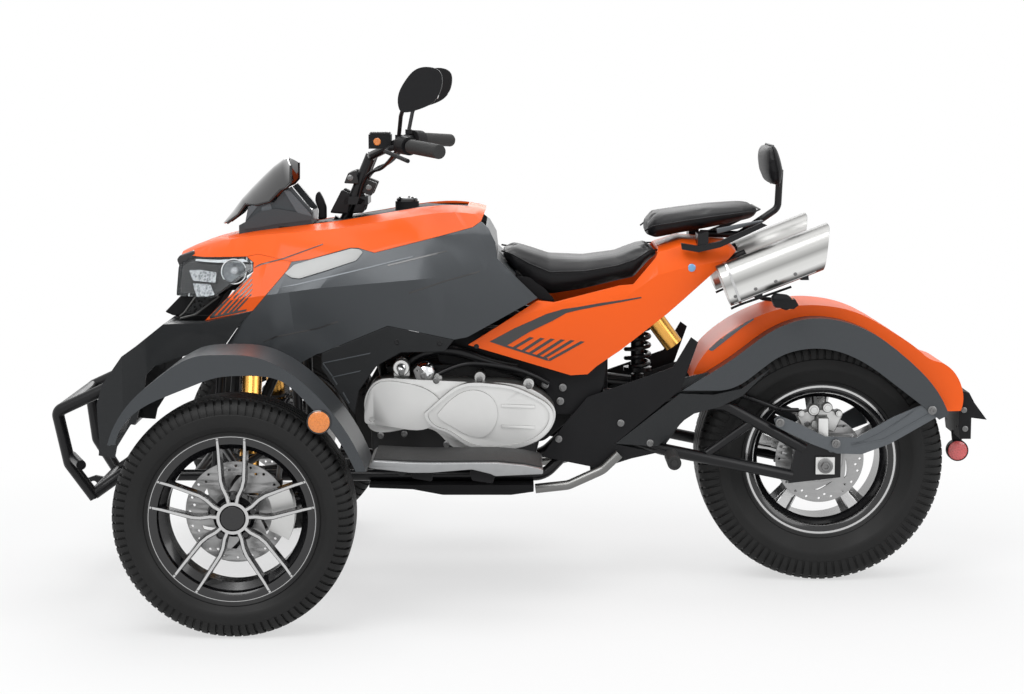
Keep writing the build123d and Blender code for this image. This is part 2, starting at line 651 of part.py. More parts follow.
# Tail lamp and number-plate bracket
plate_outline = [(-1105.4, 443), (-1109.3, 488), (-1130, 484), (-1144, 458), (-1176, 415), (-1137, 420),
    (-1137, 366)]
plate_outline += [(-1110, 366), (-1105.4, 400)]
with BuildPart() as plate_bracket:
    side_plate(plate_outline, 90, 180)
    add(rear_mudguard.part, mode=Mode.SUBTRACT)
    for side in (1, -1):
        with BuildSketch(Plane.YZ.offset(-1150)) as plate_hole:
            with Locations((side * plate_hole_spacing / 2, 393)):
                Circle(plate_hole_radius)
        extrude(plate_hole.sketch, amount=60, mode=Mode.SUBTRACT)
save(plate_bracket.part, "plate_bracket")

with BuildPart() as tail_lamp:
    across(-1122, 324, 8, -8, 21)
    side_plate([(-1134, 366), (-1110, 366), (-1110, 343), (-1134, 343)], 6, 12)
save(tail_lamp.part, "tail_lamp")

# Turn signals under the silencers, exhaust pipes beside the belly pan, passenger pegs on the swing arm
with BuildPart() as turn_signals:
    for side in (1, -1):
        low_y, high_y = sorted((side * 118, side * 246))
        side_plate([(-612, 733), (-668, 736), (-676, 722), (-664, 712), (-620, 716)],
            high_y if side > 0 else -206, 40)
        across(-640, 724, high_y - (0 if side < 0 else 30), low_y + (0 if side > 0 else 30), 6)
        tube([(-640, side * 150, 724), (-600, side * 125, 726), (-551, side * 106, 782)], 5, 12)
        block((-562 - seat_gap, -540 + seat_gap), sorted((side * 97, side * 149)), (776 - seat_gap, 800),
              Mode.SUBTRACT)
save(turn_signals.part, "turn_signals")

pipe_route = [(-38, 182.6, 257), (-120, 182.6, 266), (-205, 182.6, 305), (-246, 182.6, 345)]
with BuildPart() as exhaust_pipes:
    for side in (1, -1):
        tube([(x, side * y, z) for x, y, z in pipe_route], 12, 60)
save(exhaust_pipes.part, "exhaust_pipes")

with BuildPart() as foot_pegs:
    for low_y, high_y in ((swing_half + swing_tube - 6, 330), (-330, -swing_half - swing_tube + 6)):
        across(-372, 347, high_y, low_y, 8)
    for high_y in (325, -220):
        across(-372, 347, high_y, high_y - 105, 17)
    with BuildPart(mode=Mode.PRIVATE) as arm_space:
        for side in (1, -1):
            y = side * swing_half
            tube([(-195, y, 405), (-351, y, 351), (-680, y, 283)], swing_tube + seat_gap, 100)
    add(arm_space.part, mode=Mode.SUBTRACT)
save(foot_pegs.part, "foot_pegs")

# Rear wheel: axle, rim, disc, tyre
def ring(profile, x, y, z, mode=Mode.ADD):
    """A closed (radius, axial) profile turned about a wheel's axle, in the open part."""
    with BuildSketch(Plane(origin=(x, y, z), x_dir=(1, 0, 0), z_dir=(0, 0, 1))) as section:
        Polygon(*profile, align=None)
    revolve(section.sketch, Axis((x, y, z), (0, 1, 0)), 360, mode=mode)


def rim_barrel(width, x, y, z):
    """The rim's barrel with both flanges and the well between the beads."""
    half = width / 2
    outer = [(flange_radius, -half), (bead_radius, -half + 9), (bead_radius, -half + 28),
        (bead_radius - well_depth, -half + 40)]
    outer += [(r, -a) for r, a in reversed(outer)]
    inner = [(r - rim_wall, a) for r, a in outer]
    inner[0] = (flange_radius - rim_wall, -half)
    inner[-1] = (flange_radius - rim_wall, half)
    ring(outer + inner[::-1], x, y, z)


def tyre_ring(width, tyre_width, radius, x, y, z):
    """A tyre, filled, seated on the beads of its rim."""
    half, bulge = width / 2, tyre_width / 2
    gap = 0.05
    side = [(bead_radius - well_depth + gap, -half + 40), (bead_radius + gap, -half + 28),
        (bead_radius + gap, -half + 9 + 2 * gap)]
    side += [(flange_radius + gap, -half + 2 * gap), ((flange_radius + radius) / 2 - 8, -bulge)]
    side += [(radius - 24, -bulge + 3), (radius - 6, -bulge + 20), (radius, -bulge + 44)]
    ring(side + [(r, -a) for r, a in reversed(side)], x, y, z)


def spokes(x, y_face, z, hub_radius, reach, width, depth, count, start=90):
    """Straight tapered spokes from the hub to the barrel."""
    for index in range(count):
        angle = radians(start + index * 360 / count)
        out = Vector(cos(angle), 0, sin(angle))
        flank = Vector(-sin(angle), 0, cos(angle))
        centre = Vector(x, y_face, z)
        corners = [centre + out * 20 + flank * width * 0.62, centre + out * reach + flank * width / 2,
                   centre + out * reach - flank * width / 2, centre + out * 20 - flank * width * 0.62]
        with BuildSketch(Plane.XZ.offset(-y_face)) as spoke:
            Polygon(*[(c.X, c.Z) for c in corners], align=None)
        extrude(spoke.sketch, amount=depth)
    across(x, z, y_face, y_face - depth - 20, hub_radius)


def paired_spokes(x, y_face, z, reach, depth, pairs):
    """Pairs of slim spokes that leave the hub together, bend apart and run side by side to the barrel."""
    half_path = [(28, 8, 7), (52, 13.5, 6), (72, 24, 5.5), (92, 27.5, 5), (reach, 30, 4.5)]
    for index in range(pairs):
        angle = radians(90 + index * 360 / pairs)
        out = Vector(cos(angle), 0, sin(angle))
        flank = Vector(-sin(angle), 0, cos(angle))
        for hand in (1, -1):
            corners = [out * r + flank * hand * (a + w) for r, a, w in half_path]
            corners += [out * r + flank * hand * (a - w) for r, a, w in reversed(half_path)]
            with BuildSketch(Plane.XZ.offset(-y_face)) as spoke:
                Polygon(*[(x + c.X, z + c.Z) for c in corners], align=None)
            extrude(spoke.sketch, amount=depth)


def caliper(x, z, y_low, y_high, disc_low, disc_high, disc_radius, turn):
    """A brake caliper over a disc's edge: a sector across the edge, cut out round the disc."""
    inner, outer, spread = disc_radius - 34, disc_radius + 18, 27
    steps = [turn - spread + spread * i / 3 for i in range(7)]
    rim_points = [(x + outer * cos(radians(a)), z + outer * sin(radians(a))) for a in steps]
    hub_points = [(x + inner * cos(radians(a)), z + inner * sin(radians(a))) for a in reversed(steps)]
    side_plate(rim_points + hub_points, y_high, y_high - y_low)
    across(x, z, disc_high + disc_gap, disc_low - disc_gap, disc_radius + disc_gap, Mode.SUBTRACT)


with BuildPart() as rear_caliper:
    caliper(rear_axle_x, rear_tyre_radius, 44, 86, 60, 60 + disc_thick, rear_disc_radius, 88)
    block((-772, -744), (80, swing_half - 9 - seat_gap), (rear_tyre_radius + 96, rear_tyre_radius + 116))
    block((-772, -744), (124, swing_half - 9 - seat_gap), (rear_tyre_radius + 14, rear_tyre_radius + 116))
save(rear_caliper.part, "rear_caliper")

with BuildPart() as rear_rim:
    rim_barrel(rear_rim_width, rear_axle_x, 0, rear_tyre_radius)
    spokes(rear_axle_x, 20, rear_tyre_radius, 42, bead_radius - well_depth - 3, 44, 30, spoke_count)
    across(rear_axle_x, rear_tyre_radius, 60, -60, 36)
    across(rear_axle_x, rear_tyre_radius, 200, -200, rear_spindle_radius + running_gap, Mode.SUBTRACT)
save(rear_rim.part, "rear_rim")

with BuildPart() as rear_tyre:
    tyre_ring(rear_rim_width, rear_tyre_width, rear_tyre_radius, rear_axle_x, 0, rear_tyre_radius)
save(rear_tyre.part, "rear_tyre")

with BuildPart() as rear_disc:
    across(rear_axle_x, rear_tyre_radius, 60 + disc_thick, 60, rear_disc_radius)
    across(rear_axle_x, rear_tyre_radius, 90, 0, 40, Mode.SUBTRACT)
    across(rear_axle_x, rear_tyre_radius, 60 + disc_thick, 60, 55)
    across(rear_axle_x, rear_tyre_radius, 90, 0, rear_spindle_radius + running_gap, Mode.SUBTRACT)
save(rear_disc.part, "rear_disc")

with BuildPart() as rear_axle:
    across(rear_axle_x, rear_tyre_radius, 170, -170, rear_spindle_radius)
    for side in (1, -1):
        block((rear_axle_x - 24, rear_axle_x + 24),
            sorted((side * (swing_half + 9), side * (swing_half + 19))),
              (rear_tyre_radius - 22, rear_tyre_radius + 22))
save(rear_axle.part, "rear_axle")

# Front suspension: control arms and shocks
with BuildPart() as control_arms:
    for z in (arm_low_z, arm_high_z):
        for x in (front_axle_x + arm_spread, front_axle_x - arm_spread):
            tube([(x, arm_pivot_y, z + arm_rise), (front_axle_x, kingpin_y - 17, z)], 9)
            tube([(x - 26, arm_pivot_y, z + arm_rise), (x + 26, arm_pivot_y, z + arm_rise)], arm_barrel)
        upright(front_axle_x, kingpin_y, z - 10, z + 10, arm_eye)
    share = (kingpin_y - shock_foot_y) / (kingpin_y - arm_pivot_y)
    foot_z = arm_low_z + arm_rise * share
    tube([(front_axle_x - arm_spread * share, shock_foot_y, foot_z), (front_axle_x + arm_spread * share,
        shock_foot_y, foot_z)], 9)
    upright(front_axle_x, kingpin_y, 0, 600, 8 + running_gap, Mode.SUBTRACT)
    mirror(about=Plane.XZ)
save(control_arms.part, "control_arms")

with BuildPart() as front_shocks:
    tube([(front_axle_x, tower_y + 6, tower_z - 36), (front_axle_x, shock_foot_y - 6, foot_z + 34)], 24)
    tube([(front_axle_x, tower_y, tower_z - 10 - seat_gap), (front_axle_x, tower_y, tower_z - 50)], 9)
    tube([(front_axle_x, shock_foot_y, foot_z + 9 + seat_gap), (front_axle_x, shock_foot_y,
        foot_z + 50)], 9)
    mirror(about=Plane.XZ)
save(front_shocks.part, "front_shocks")

pitman_x = head.X + lean.X * column_low
for side, hand in ((1, "left"), (-1, "right")):
    kingpin = side * kingpin_y
    centre = side * half_track
    face = kingpin + side * 26
    with BuildPart() as knuckle:
        upright(front_axle_x, kingpin, arm_low_z + 11.5, arm_high_z - 11.5, 20)
        upright(front_axle_x, kingpin, arm_low_z - 9, arm_high_z + 9, 8)
        across(front_axle_x, front_tyre_radius, max(kingpin, side * 620), min(kingpin, side * 620),
            spindle_radius)
        with BuildSketch(Plane.XY.offset(lever_z - 10)) as lever:
            with Locations((front_axle_x - steering_arm / 2, kingpin)):
                SlotCenterToCenter(steering_arm, 28)
        extrude(lever.sketch, amount=10)
        upright(front_axle_x - steering_arm, kingpin, lever_z - 30, lever_z, 6)
    save(knuckle.part, f"knuckle_{hand}")

    with BuildPart() as front_rim:
        rim_barrel(front_rim_width, front_axle_x, centre, front_tyre_radius)
        outside = 55 if side > 0 else -55 + 15
        paired_spokes(front_axle_x, centre + outside, front_tyre_radius, bead_radius - 4, 15, spoke_count)
        across(front_axle_x, front_tyre_radius, centre + outside - 2, centre + outside - 37, 44)
        across(front_axle_x, front_tyre_radius, max(face + side * 8, centre + side * 40),
               min(face + side * 8, centre + side * 40), 34)
        across(front_axle_x, front_tyre_radius, 700, -700, spindle_radius + running_gap, Mode.SUBTRACT)
    save(front_rim.part, f"front_rim_{hand}")

    with BuildPart() as front_tyre:
        tyre_ring(front_rim_width, front_tyre_width, front_tyre_radius, front_axle_x, centre,
            front_tyre_radius)
    save(front_tyre.part, f"front_tyre_{hand}")

    with BuildPart() as front_disc:
        y_far, y_near = sorted((face, face + side * disc_thick))[::-1]
        across(front_axle_x, front_tyre_radius, y_far, y_near, front_disc_radius)
        across(front_axle_x, front_tyre_radius, 700, -700, spindle_radius + running_gap, Mode.SUBTRACT)
    save(front_disc.part, f"front_disc_{hand}")

    with BuildPart() as front_caliper:
        low_y, high_y = sorted((face - side * 14, face + side * 26))
        caliper(front_axle_x, front_tyre_radius, low_y, high_y, y_near, y_far, front_disc_radius, 180)
        arm_low, arm_high = sorted((kingpin - side * 2, face - side * (disc_gap + seat_gap)))
        block((front_axle_x - 112, front_axle_x - 16), (arm_low, arm_high),
            (front_tyre_radius - 16, front_tyre_radius + 16))
        upright(front_axle_x, kingpin, front_tyre_radius - 20, front_tyre_radius + 20, 20 + seat_gap,
            Mode.SUBTRACT)
        rod_space = rod_eye + disc_gap + seat_gap
        upright(front_axle_x - steering_arm, kingpin, lever_z - 38, lever_z, rod_space, Mode.SUBTRACT)
    save(front_caliper.part, f"front_caliper_{hand}")

    with BuildPart() as tie_rod:
        inner_z = pitman_z - 24 - (0 if side > 0 else rod_step)
        outer_x, outer_z = front_axle_x - steering_arm, lever_z - 20
        inner_x = pitman_x - pitman_arm
        tube([(inner_x, side * 15, inner_z), (outer_x, kingpin - side * 10, outer_z)], 7)
        upright(outer_x, kingpin, outer_z - 9, outer_z + 9, rod_eye)
        upright(outer_x, kingpin, outer_z - 20, outer_z + 20, 6 + running_gap, Mode.SUBTRACT)
        upright(inner_x, 0, inner_z - 8, inner_z + 8, 20)
        upright(inner_x, 0, inner_z - 20, inner_z + 20, 12.5, Mode.SUBTRACT)
    save(tie_rod.part, f"tie_rod_{hand}")

# Handlebar: column, pitman lever, riser, bar
with BuildPart() as handlebar:
    with BuildSketch(column_plane.offset(column_low)) as shaft:
        Circle(column_radius)
    extrude(shaft.sketch, amount=110 - column_low)
    with BuildSketch(Plane.XY.offset(pitman_z - 6)) as lever:
        with Locations((pitman_x - pitman_arm / 2, 0)):
            SlotCenterToCenter(pitman_arm, 34)
    extrude(lever.sketch, amount=14)
    upright(pitman_x - pitman_arm, 0, pitman_z - 60, pitman_z, 4.5)
    bar_route = [(375, 0, 1072), (365, 110, 1080), (300, 230, 1112), (190, 428, 1100)]
    tube(bar_route, bar_tube, 40)
    tube([(x, -y, z) for x, y, z in bar_route], bar_tube, 40)
    for side in (1, -1):
        tube([(418, side * 40, 968), (372, side * 40, 1078)], 14)
    block((380, 440), (-58, 58), (955, 975))
save(handlebar.part, "handlebar")

grip_from, grip_to = Vector(*bar_route[2]), Vector(*bar_route[3])
with BuildPart() as grips:
    for side in (1, -1):
        run = [grip_from + (grip_to - grip_from) * share for share in (0.36, 1.02)]
        tube([(p.X, side * p.Y, p.Z) for p in run], 17)
        tube([(x, side * y, z) for x, y, z in bar_route[:1] + bar_route[1:]], bar_tube + 0.05, 40,
            Mode.SUBTRACT)
save(grips.part, "grips")

with BuildPart() as controls:
    for side in (1, -1):
        run = [grip_from + (grip_to - grip_from) * share for share in (0.14, 0.33)]
        tube([(p.X, side * p.Y, p.Z) for p in run], 22)
        near, far = sorted((side * 222, side * 250))
        lever_route = [(318, side * 240, 1100), (322, side * 296, 1096), (262, side * 420, 1078)]
        tube(lever_route, 5, 30)
        tube([(lever_route[0][0], side * 240, 1100), (288, side * 248, 1106)], 7)
    block((312, 366), (178, 232), (1100, 1134))
    tube([(330, 205, 1102), (312, 212, 1103)], 9)
    for side in (1, -1):
        tube([(x, side * y, z) for x, y, z in bar_route], bar_tube + seat_gap, 40, Mode.SUBTRACT)
save(controls.part, "controls")

mirror_route = [(292, 244.5, 1130), (284, 300, 1180), (268, 386, 1218)]
mirror_outline = [(282, 1200), (282, 1235), (266, 1265), (243, 1289), (212, 1295), (187, 1284),
    (182, 1258), (197, 1220), (240, 1196)]
with BuildPart() as mirrors:
    for side in (1, -1):
        tube([(x, side * y, z) for x, y, z in mirror_route], 5, 20)
        upright(292, side * 244.5, 1122.6, 1134, 9)
        closed_plate(mirror_outline, side * 400 + 26, 52)
save(mirrors.part, "mirrors")
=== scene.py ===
"""Looks of a three-wheeled motorcycle: finishes, tyres, wheels, seats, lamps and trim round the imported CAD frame."""
import json
import math

import bmesh
import bpy
import numpy as np
from bpy.props import FloatProperty, FloatVectorProperty, IntProperty, PointerProperty
from mathutils import Matrix, Vector
from mathutils.bvhtree import BVHTree

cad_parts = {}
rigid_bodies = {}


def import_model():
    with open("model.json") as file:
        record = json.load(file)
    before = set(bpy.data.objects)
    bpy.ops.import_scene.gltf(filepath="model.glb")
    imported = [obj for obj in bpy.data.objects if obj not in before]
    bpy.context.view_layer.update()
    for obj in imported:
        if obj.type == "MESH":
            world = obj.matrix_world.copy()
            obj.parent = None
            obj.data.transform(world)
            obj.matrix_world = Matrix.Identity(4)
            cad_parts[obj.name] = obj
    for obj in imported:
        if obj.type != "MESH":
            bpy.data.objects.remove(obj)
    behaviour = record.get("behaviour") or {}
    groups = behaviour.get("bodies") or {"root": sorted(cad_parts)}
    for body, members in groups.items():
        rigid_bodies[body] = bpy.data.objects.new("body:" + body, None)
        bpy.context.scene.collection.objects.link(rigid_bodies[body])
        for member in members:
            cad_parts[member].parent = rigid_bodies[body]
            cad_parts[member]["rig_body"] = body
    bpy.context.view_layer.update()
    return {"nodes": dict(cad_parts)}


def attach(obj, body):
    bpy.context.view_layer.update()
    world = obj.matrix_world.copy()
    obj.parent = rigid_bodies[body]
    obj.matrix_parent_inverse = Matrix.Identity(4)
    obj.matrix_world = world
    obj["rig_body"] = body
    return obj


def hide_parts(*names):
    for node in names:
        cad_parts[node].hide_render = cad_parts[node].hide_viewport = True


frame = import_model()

bl_info = {
    "name": "Motor trike looks",
    "version": (1, 0, 0),
    "blender": (4, 5, 0),
    "location": "3D View > Sidebar > Trike",
    "description": "Finishes, tyres, wheels, seats, lamps and trim of a three-wheeled motorcycle",
    "category": "Object",
}

MM = 0.001
CHASSIS = "chassis"
BARS = "handlebar"
REAR_WHEEL = "wheel_rear"
HANDS = (("left", 1), ("right", -1))
FRONT_AXLE = Vector((0.655, 0.58, 0.277))
REAR_AXLE = Vector((-0.760, 0.0, 0.311))
LOCK_PLACE = (-0.422, 0.806)


# Sizes and colours that a user would change

class TrikePaint(bpy.types.PropertyGroup):
    bodywork: FloatVectorProperty(name="Bodywork", description="Gloss colour of the cowls, tail and rear mudguard",
                                  default=(0.95, 0.125, 0.010), size=3, subtype="COLOR", min=0, max=1)
    panels: FloatVectorProperty(name="Panels", description="Metallic grey of the side panels and mudguards",
                                default=(0.046, 0.050, 0.054), size=3, subtype="COLOR", min=0, max=1)
    plastic: FloatVectorProperty(name="Plastic", description="Unpainted moulded plastic",
                                 default=(0.009, 0.009, 0.010), size=3, subtype="COLOR", min=0, max=1)
    seat: FloatVectorProperty(name="Seat", description="Vinyl of the seats and the back pad",
                              default=(0.006, 0.006, 0.007), size=3, subtype="COLOR", min=0, max=1)
    rubber: FloatVectorProperty(name="Rubber", description="Tyre rubber",
                                default=(0.009, 0.009, 0.009), size=3, subtype="COLOR", min=0, max=1)
    silver: FloatVectorProperty(name="Silver", description="Cast alloy of the drive cover",
                                default=(0.80, 0.80, 0.79), size=3, subtype="COLOR", min=0, max=1)


class TrikeSizes(bpy.types.PropertyGroup):
    tread_blocks: IntProperty(name="Tread blocks", description="Blocks round each tyre shoulder",
                              default=90, min=24, max=120)
    tread_depth: FloatProperty(name="Tread depth", description="Depth of the grooves",
                               default=0.005, min=0.001, max=0.012, unit="LENGTH")
    spring_turns: FloatProperty(name="Spring turns", description="Turns of the rear spring",
                                default=6.5, min=3, max=12)
    grain: FloatProperty(name="Grain", description="Size of the seat vinyl's grain",
                         default=0.0016, min=0.0005, max=0.005, unit="LENGTH")
    bevel: FloatProperty(name="Edge round", description="Rounding of the moulded panels' edges",
                         default=0.0022, min=0.0002, max=0.006, unit="LENGTH")


# Shader maths

class Wire:
    """A socket of a material's nodes. Arithmetic on it adds Math nodes."""

    def __init__(self, finish, socket):
        self.finish, self.socket = finish, socket

    def _math(self, operation, *values):
        return self.finish.node("ShaderNodeMath", {"operation": operation}, *values)

    def __add__(self, other):
        return self._math("ADD", self, other)

    __radd__ = __add__

    def __sub__(self, other):
        return self._math("SUBTRACT", self, other)

    def __rsub__(self, other):
        return self._math("SUBTRACT", other, self)

    def __mul__(self, other):
        return self._math("MULTIPLY", self, other)

    __rmul__ = __mul__

    def __truediv__(self, other):
        return self._math("DIVIDE", self, other)

    def __lt__(self, other):
        return self._math("LESS_THAN", self, other)

    def __gt__(self, other):
        return self._math("GREATER_THAN", self, other)

    def __abs__(self):
        return self._math("ABSOLUTE", self)

    def sine(self):
        return self._math("SINE", self)

    def fraction(self):
        return self._math("FRACT", self)

    def least(self, other):
        return self._math("MINIMUM", self, other)

    def most(self, other):
        return self._math("MAXIMUM", self, other)

    def ramp(self, low, high):
        """0 below low, 1 above high, smooth between."""
        return self.finish.node("ShaderNodeMapRange", {"interpolation_type": "SMOOTHSTEP"}, self, low, high, 0.0, 1.0)


class Finish:
    """A material made of one Principled shader and the nodes that feed it."""

    made = {}

    def __init__(self, name, colour, roughness, metallic=0.0, **constants):
        self.material = bpy.data.materials.new(name)
        self.material.use_nodes = True
        self.tree = self.material.node_tree
        self.tree.nodes.clear()
        output = self.tree.nodes.new("ShaderNodeOutputMaterial")
        self.shader = self.tree.nodes.new("ShaderNodeBsdfPrincipled")
        self.tree.links.new(self.shader.outputs[0], output.inputs[0])
        self.output = output
        self.colour = tuple(colour)
        self.set("Base Color", (*colour, 1.0))
        self.set("Roughness", roughness)
        self.set("Metallic", metallic)
        for socket, value in constants.items():
            self.set(socket.replace("_", " "), value)
        self._place = None
        Finish.made[name] = self

    def set(self, socket, value):
        """Put a constant or a Wire on one of the shader's sockets."""
        target = self.shader.inputs[socket]
        if isinstance(value, Wire):
            self.tree.links.new(value.socket, target)
        else:
            target.default_value = value

    def node(self, kind, settings=None, *values, output=0, **named):
        """Add any node: its settings first, then its sockets' values or links, in order or by name."""
        made = self.tree.nodes.new(kind)
        for key, value in (settings or {}).items():
            if key == "stops":
                for stop, (position, shade) in zip(self._stops(made, len(value)), value):
                    stop.position, stop.color = position, shade
            else:
                setattr(made, key, value)
        sockets = [s for s in made.inputs if s.enabled]
        pairs = list(zip(sockets, values)) + [(made.inputs[k.replace("_", " ")], v) for k, v in named.items()]
        for target, value in pairs:
            if isinstance(value, Wire):
                self.tree.links.new(value.socket, target)
            elif value is not None:
                target.default_value = value
        return Wire(self, made.outputs[output])

    @staticmethod
    def _stops(ramp, count):
        elements = ramp.color_ramp.elements
        while len(elements) < count:
            elements.new(1.0)
        return elements

    def place(self):
        """Object coordinates as a vector."""
        if self._place is None:
            self._place = self.node("ShaderNodeTexCoord", output="Object")
        return self._place

    def facing(self):
        """The object-space normal as three numbers."""
        return self.axes(self.node("ShaderNodeTexCoord", output="Normal"))

    def axes(self, vector=None):
        """The three numbers of a vector."""
        split = self.tree.nodes.new("ShaderNodeSeparateXYZ")
        self.tree.links.new((vector or self.place()).socket, split.inputs[0])
        return [Wire(self, s) for s in split.outputs]

    def stretched(self, scale, offset=(0, 0, 0), turn=(0, 0, 0)):
        """Object coordinates, turned, moved and scaled."""
        return self.node("ShaderNodeMapping", {}, Vector=self.place(), Location=offset, Rotation=turn, Scale=scale)

    def noise(self, scale, detail=2.0, vector=None):
        return self.node("ShaderNodeTexNoise", {}, Vector=vector or self.place(), Scale=scale, Detail=detail)

    def cells(self, scale, vector=None, feature="F1"):
        return self.node("ShaderNodeTexVoronoi", {"feature": feature}, Vector=vector or self.place(), Scale=scale)

    def blend(self, share, first, second, mode="MIX"):
        """Mix two colours by a share."""
        mix = self.tree.nodes.new("ShaderNodeMix")
        mix.data_type, mix.blend_type = "RGBA", mode
        for target, value in ((mix.inputs[0], share), (mix.inputs[6], first), (mix.inputs[7], second)):
            if isinstance(value, Wire):
                self.tree.links.new(value.socket, target)
            else:
                target.default_value = value if isinstance(value, (int, float)) else (*value[:3], 1.0)
        return Wire(self, mix.outputs[2])

    def bump(self, height, strength, distance=0.001):
        self.set("Normal", self.node("ShaderNodeBump", {}, Height=height, Strength=strength, Distance=distance))

    def vary(self, share, amount, other):
        """Blend the base colour a little towards another one by a share."""
        self.set("Base Color", self.blend(share * amount, self.colour, other))


def material(name):
    return Finish.made[name].material


def make_finishes(paint, sizes):
    """Every finish of the trike."""
    orange = Finish("orange_gloss", paint.bodywork, 0.42, Coat_Weight=0.12, Coat_Roughness=0.10, Specular_IOR_Level=0.2)
    orange.vary(orange.noise(3.0), 0.30, (0.86, 0.090, 0.006))
    orange.bump(orange.noise(260.0, 1.0), 0.02)

    # grey_light is the panel grey made lighter; on the crease line and on the cowl's posts and facets it is used as
    # painted highlight
    for name, shade in (("grey_metallic", paint.panels), ("grey_light", [c * 1.9 for c in paint.panels])):
        grey = Finish(name, shade, 0.34, 0.5, Coat_Weight=0.12, Coat_Roughness=0.10, Specular_IOR_Level=0.3)
        flakes = grey.cells(2600.0)
        grey.vary(flakes.ramp(0.25, 0.7), 0.55, [c * 1.8 for c in shade])
        grey.set("Roughness", 0.30 + grey.noise(5.0) * 0.10)
        grey.bump(grey.noise(420.0, 1.0), 0.03)

    plastic = Finish("black_plastic", paint.plastic, 0.55, Specular_IOR_Level=0.15)
    pebble = plastic.cells(900.0)
    plastic.bump(pebble, 0.22, 0.0006)
    plastic.set("Roughness", 0.46 + plastic.noise(9.0) * 0.18)
    plastic.vary(plastic.noise(14.0), 0.5, (0.017, 0.017, 0.018))

    leg = Finish("leg_plastic", (0.018, 0.019, 0.020), 0.5, Specular_IOR_Level=0.2)
    leg.bump(leg.cells(1100.0), 0.28, 0.0006)
    leg.set("Roughness", 0.42 + leg.noise(6.0) * 0.2)
    leg.vary(leg.noise(22.0), 0.5, (0.030, 0.031, 0.033))

    frame_black = Finish("frame_black", (0.006, 0.006, 0.007), 0.3, 0.0, Coat_Weight=0.10, Specular_IOR_Level=0.25)
    frame_black.bump(frame_black.noise(300.0, 2.0), 0.06)
    frame_black.set("Roughness", 0.24 + frame_black.noise(12.0) * 0.2)

    engine = Finish("cast_dark", (0.016, 0.016, 0.017), 0.5, 0.5)
    engine.bump(engine.noise(500.0, 3.0), 0.25)
    engine.vary(engine.noise(16.0), 0.6, (0.035, 0.035, 0.035))

    cast = Finish("cast_silver", paint.silver, 0.40, 0.75)
    cast.bump(cast.noise(900.0, 2.0), 0.06, 0.0005)
    cast.set("Roughness", 0.30 + cast.noise(7.0) * 0.14)
    # Painted shade: faces that tilt up, down, forwards or back are darkened by their normal, in place of reflections,
    # with a little random tone from noise
    nx, _, nz = cast.facing()
    slope = (abs(nx) + abs(nz)).ramp(0.10, 0.85)
    cast.vary((slope * 0.85 + cast.noise(11.0) * 0.2).least(1.0), 1.0, (0.16, 0.16, 0.155))

    brushed = Finish("brushed_silver", (0.60, 0.595, 0.58), 0.3, 1.0)
    hair = brushed.noise(60.0, 4.0, brushed.stretched((1.0, 28.0, 60.0), turn=(0, math.radians(-21.5), 0)))
    brushed.set("Roughness", 0.22 + hair * 0.26)
    brushed.bump(hair, 0.05, 0.0004)
    # Painted reflection: light and dark bands across the silencer's axis, as a studio would reflect in it, blended a
    # little with the brushed grain's tone
    x, _, z = brushed.axes()
    lean = math.radians(21.5)
    across = (z - 0.764) * math.cos(lean) + (x + 0.497) * math.sin(lean)
    reflection_bands = ((0.0, 0.16), (0.14, 0.30), (0.24, 0.85), (0.40, 0.72), (0.52, 0.34), (0.66, 0.62), (0.80, 0.42), (0.95, 0.10))
    painted_reflection = brushed.node("ShaderNodeValToRGB", {"stops": [(at, (k, k, k * 0.98, 1)) for at, k in reflection_bands]},
                         (across + 0.055) / 0.11)
    brushed.set("Base Color", brushed.blend(hair * 0.3, painted_reflection, (0.42, 0.415, 0.40)))

    steel = Finish("disc_steel", (0.40, 0.40, 0.40), 0.3, 1.0)
    steel.set("Roughness", 0.24 + steel.noise(90.0, 2.0) * 0.2)
    steel.vary(steel.noise(30.0), 0.5, (0.26, 0.26, 0.26))

    machined = Finish("machined_face", (0.56, 0.56, 0.56), 0.24, 1.0)
    machined.set("Roughness", 0.20 + machined.noise(240.0, 2.0) * 0.18)

    board = Finish("board_silver", (0.36, 0.365, 0.37), 0.36, 0.8)
    board.set("Roughness", 0.30 + board.noise(14.0) * 0.16)
    board.vary(board.noise(60.0), 0.4, (0.24, 0.245, 0.25))

    mesh = Finish("mesh_black", (0.030, 0.031, 0.032), 0.5, 0.4)
    holes = mesh.cells(150.0)
    mesh.bump(holes.ramp(0.2, 0.5), 0.9, 0.002)
    # The holes are painted near-black: painted shade where the real mesh is open onto the dark inside
    mesh.vary(1.0 - holes.ramp(0.25, 0.45), 0.9, (0.002, 0.002, 0.002))

    white = Finish("lamp_white", (0.62, 0.64, 0.66), 0.3, 0.0, Coat_Weight=0.5, Coat_Roughness=0.05)
    white.vary(white.cells(300.0).ramp(0.1, 0.8), 0.45, (0.30, 0.32, 0.34))

    rim = Finish("rim_black", (0.006, 0.006, 0.007), 0.20, 0.0, Coat_Weight=0.3, Coat_Roughness=0.06)
    rim.bump(rim.noise(220.0, 1.0), 0.02)
    rim.set("Roughness", 0.14 + rim.noise(8.0) * 0.1)

    gold = Finish("gold_metal", (0.80, 0.42, 0.10), 0.24, 1.0)
    gold.set("Roughness", 0.18 + gold.noise(60.0, 2.0) * 0.16)
    gold.vary(gold.noise(24.0), 0.3, (0.62, 0.30, 0.06))

    rubber = Finish("tyre_rubber", paint.rubber, 0.5, Specular_IOR_Level=0.22)
    rubber.set("Roughness", 0.42 + rubber.noise(18.0) * 0.2)
    rubber.vary(rubber.noise(10.0), 0.7, (0.020, 0.020, 0.020))
    rubber.bump(rubber.noise(600.0, 3.0), 0.12, 0.0006)

    grips = Finish("grip_rubber", (0.014, 0.014, 0.014), 0.7)
    ribs = grips.axes()[1]
    grips.bump((ribs * 900.0).sine().ramp(-0.3, 0.3), 0.5, 0.001)

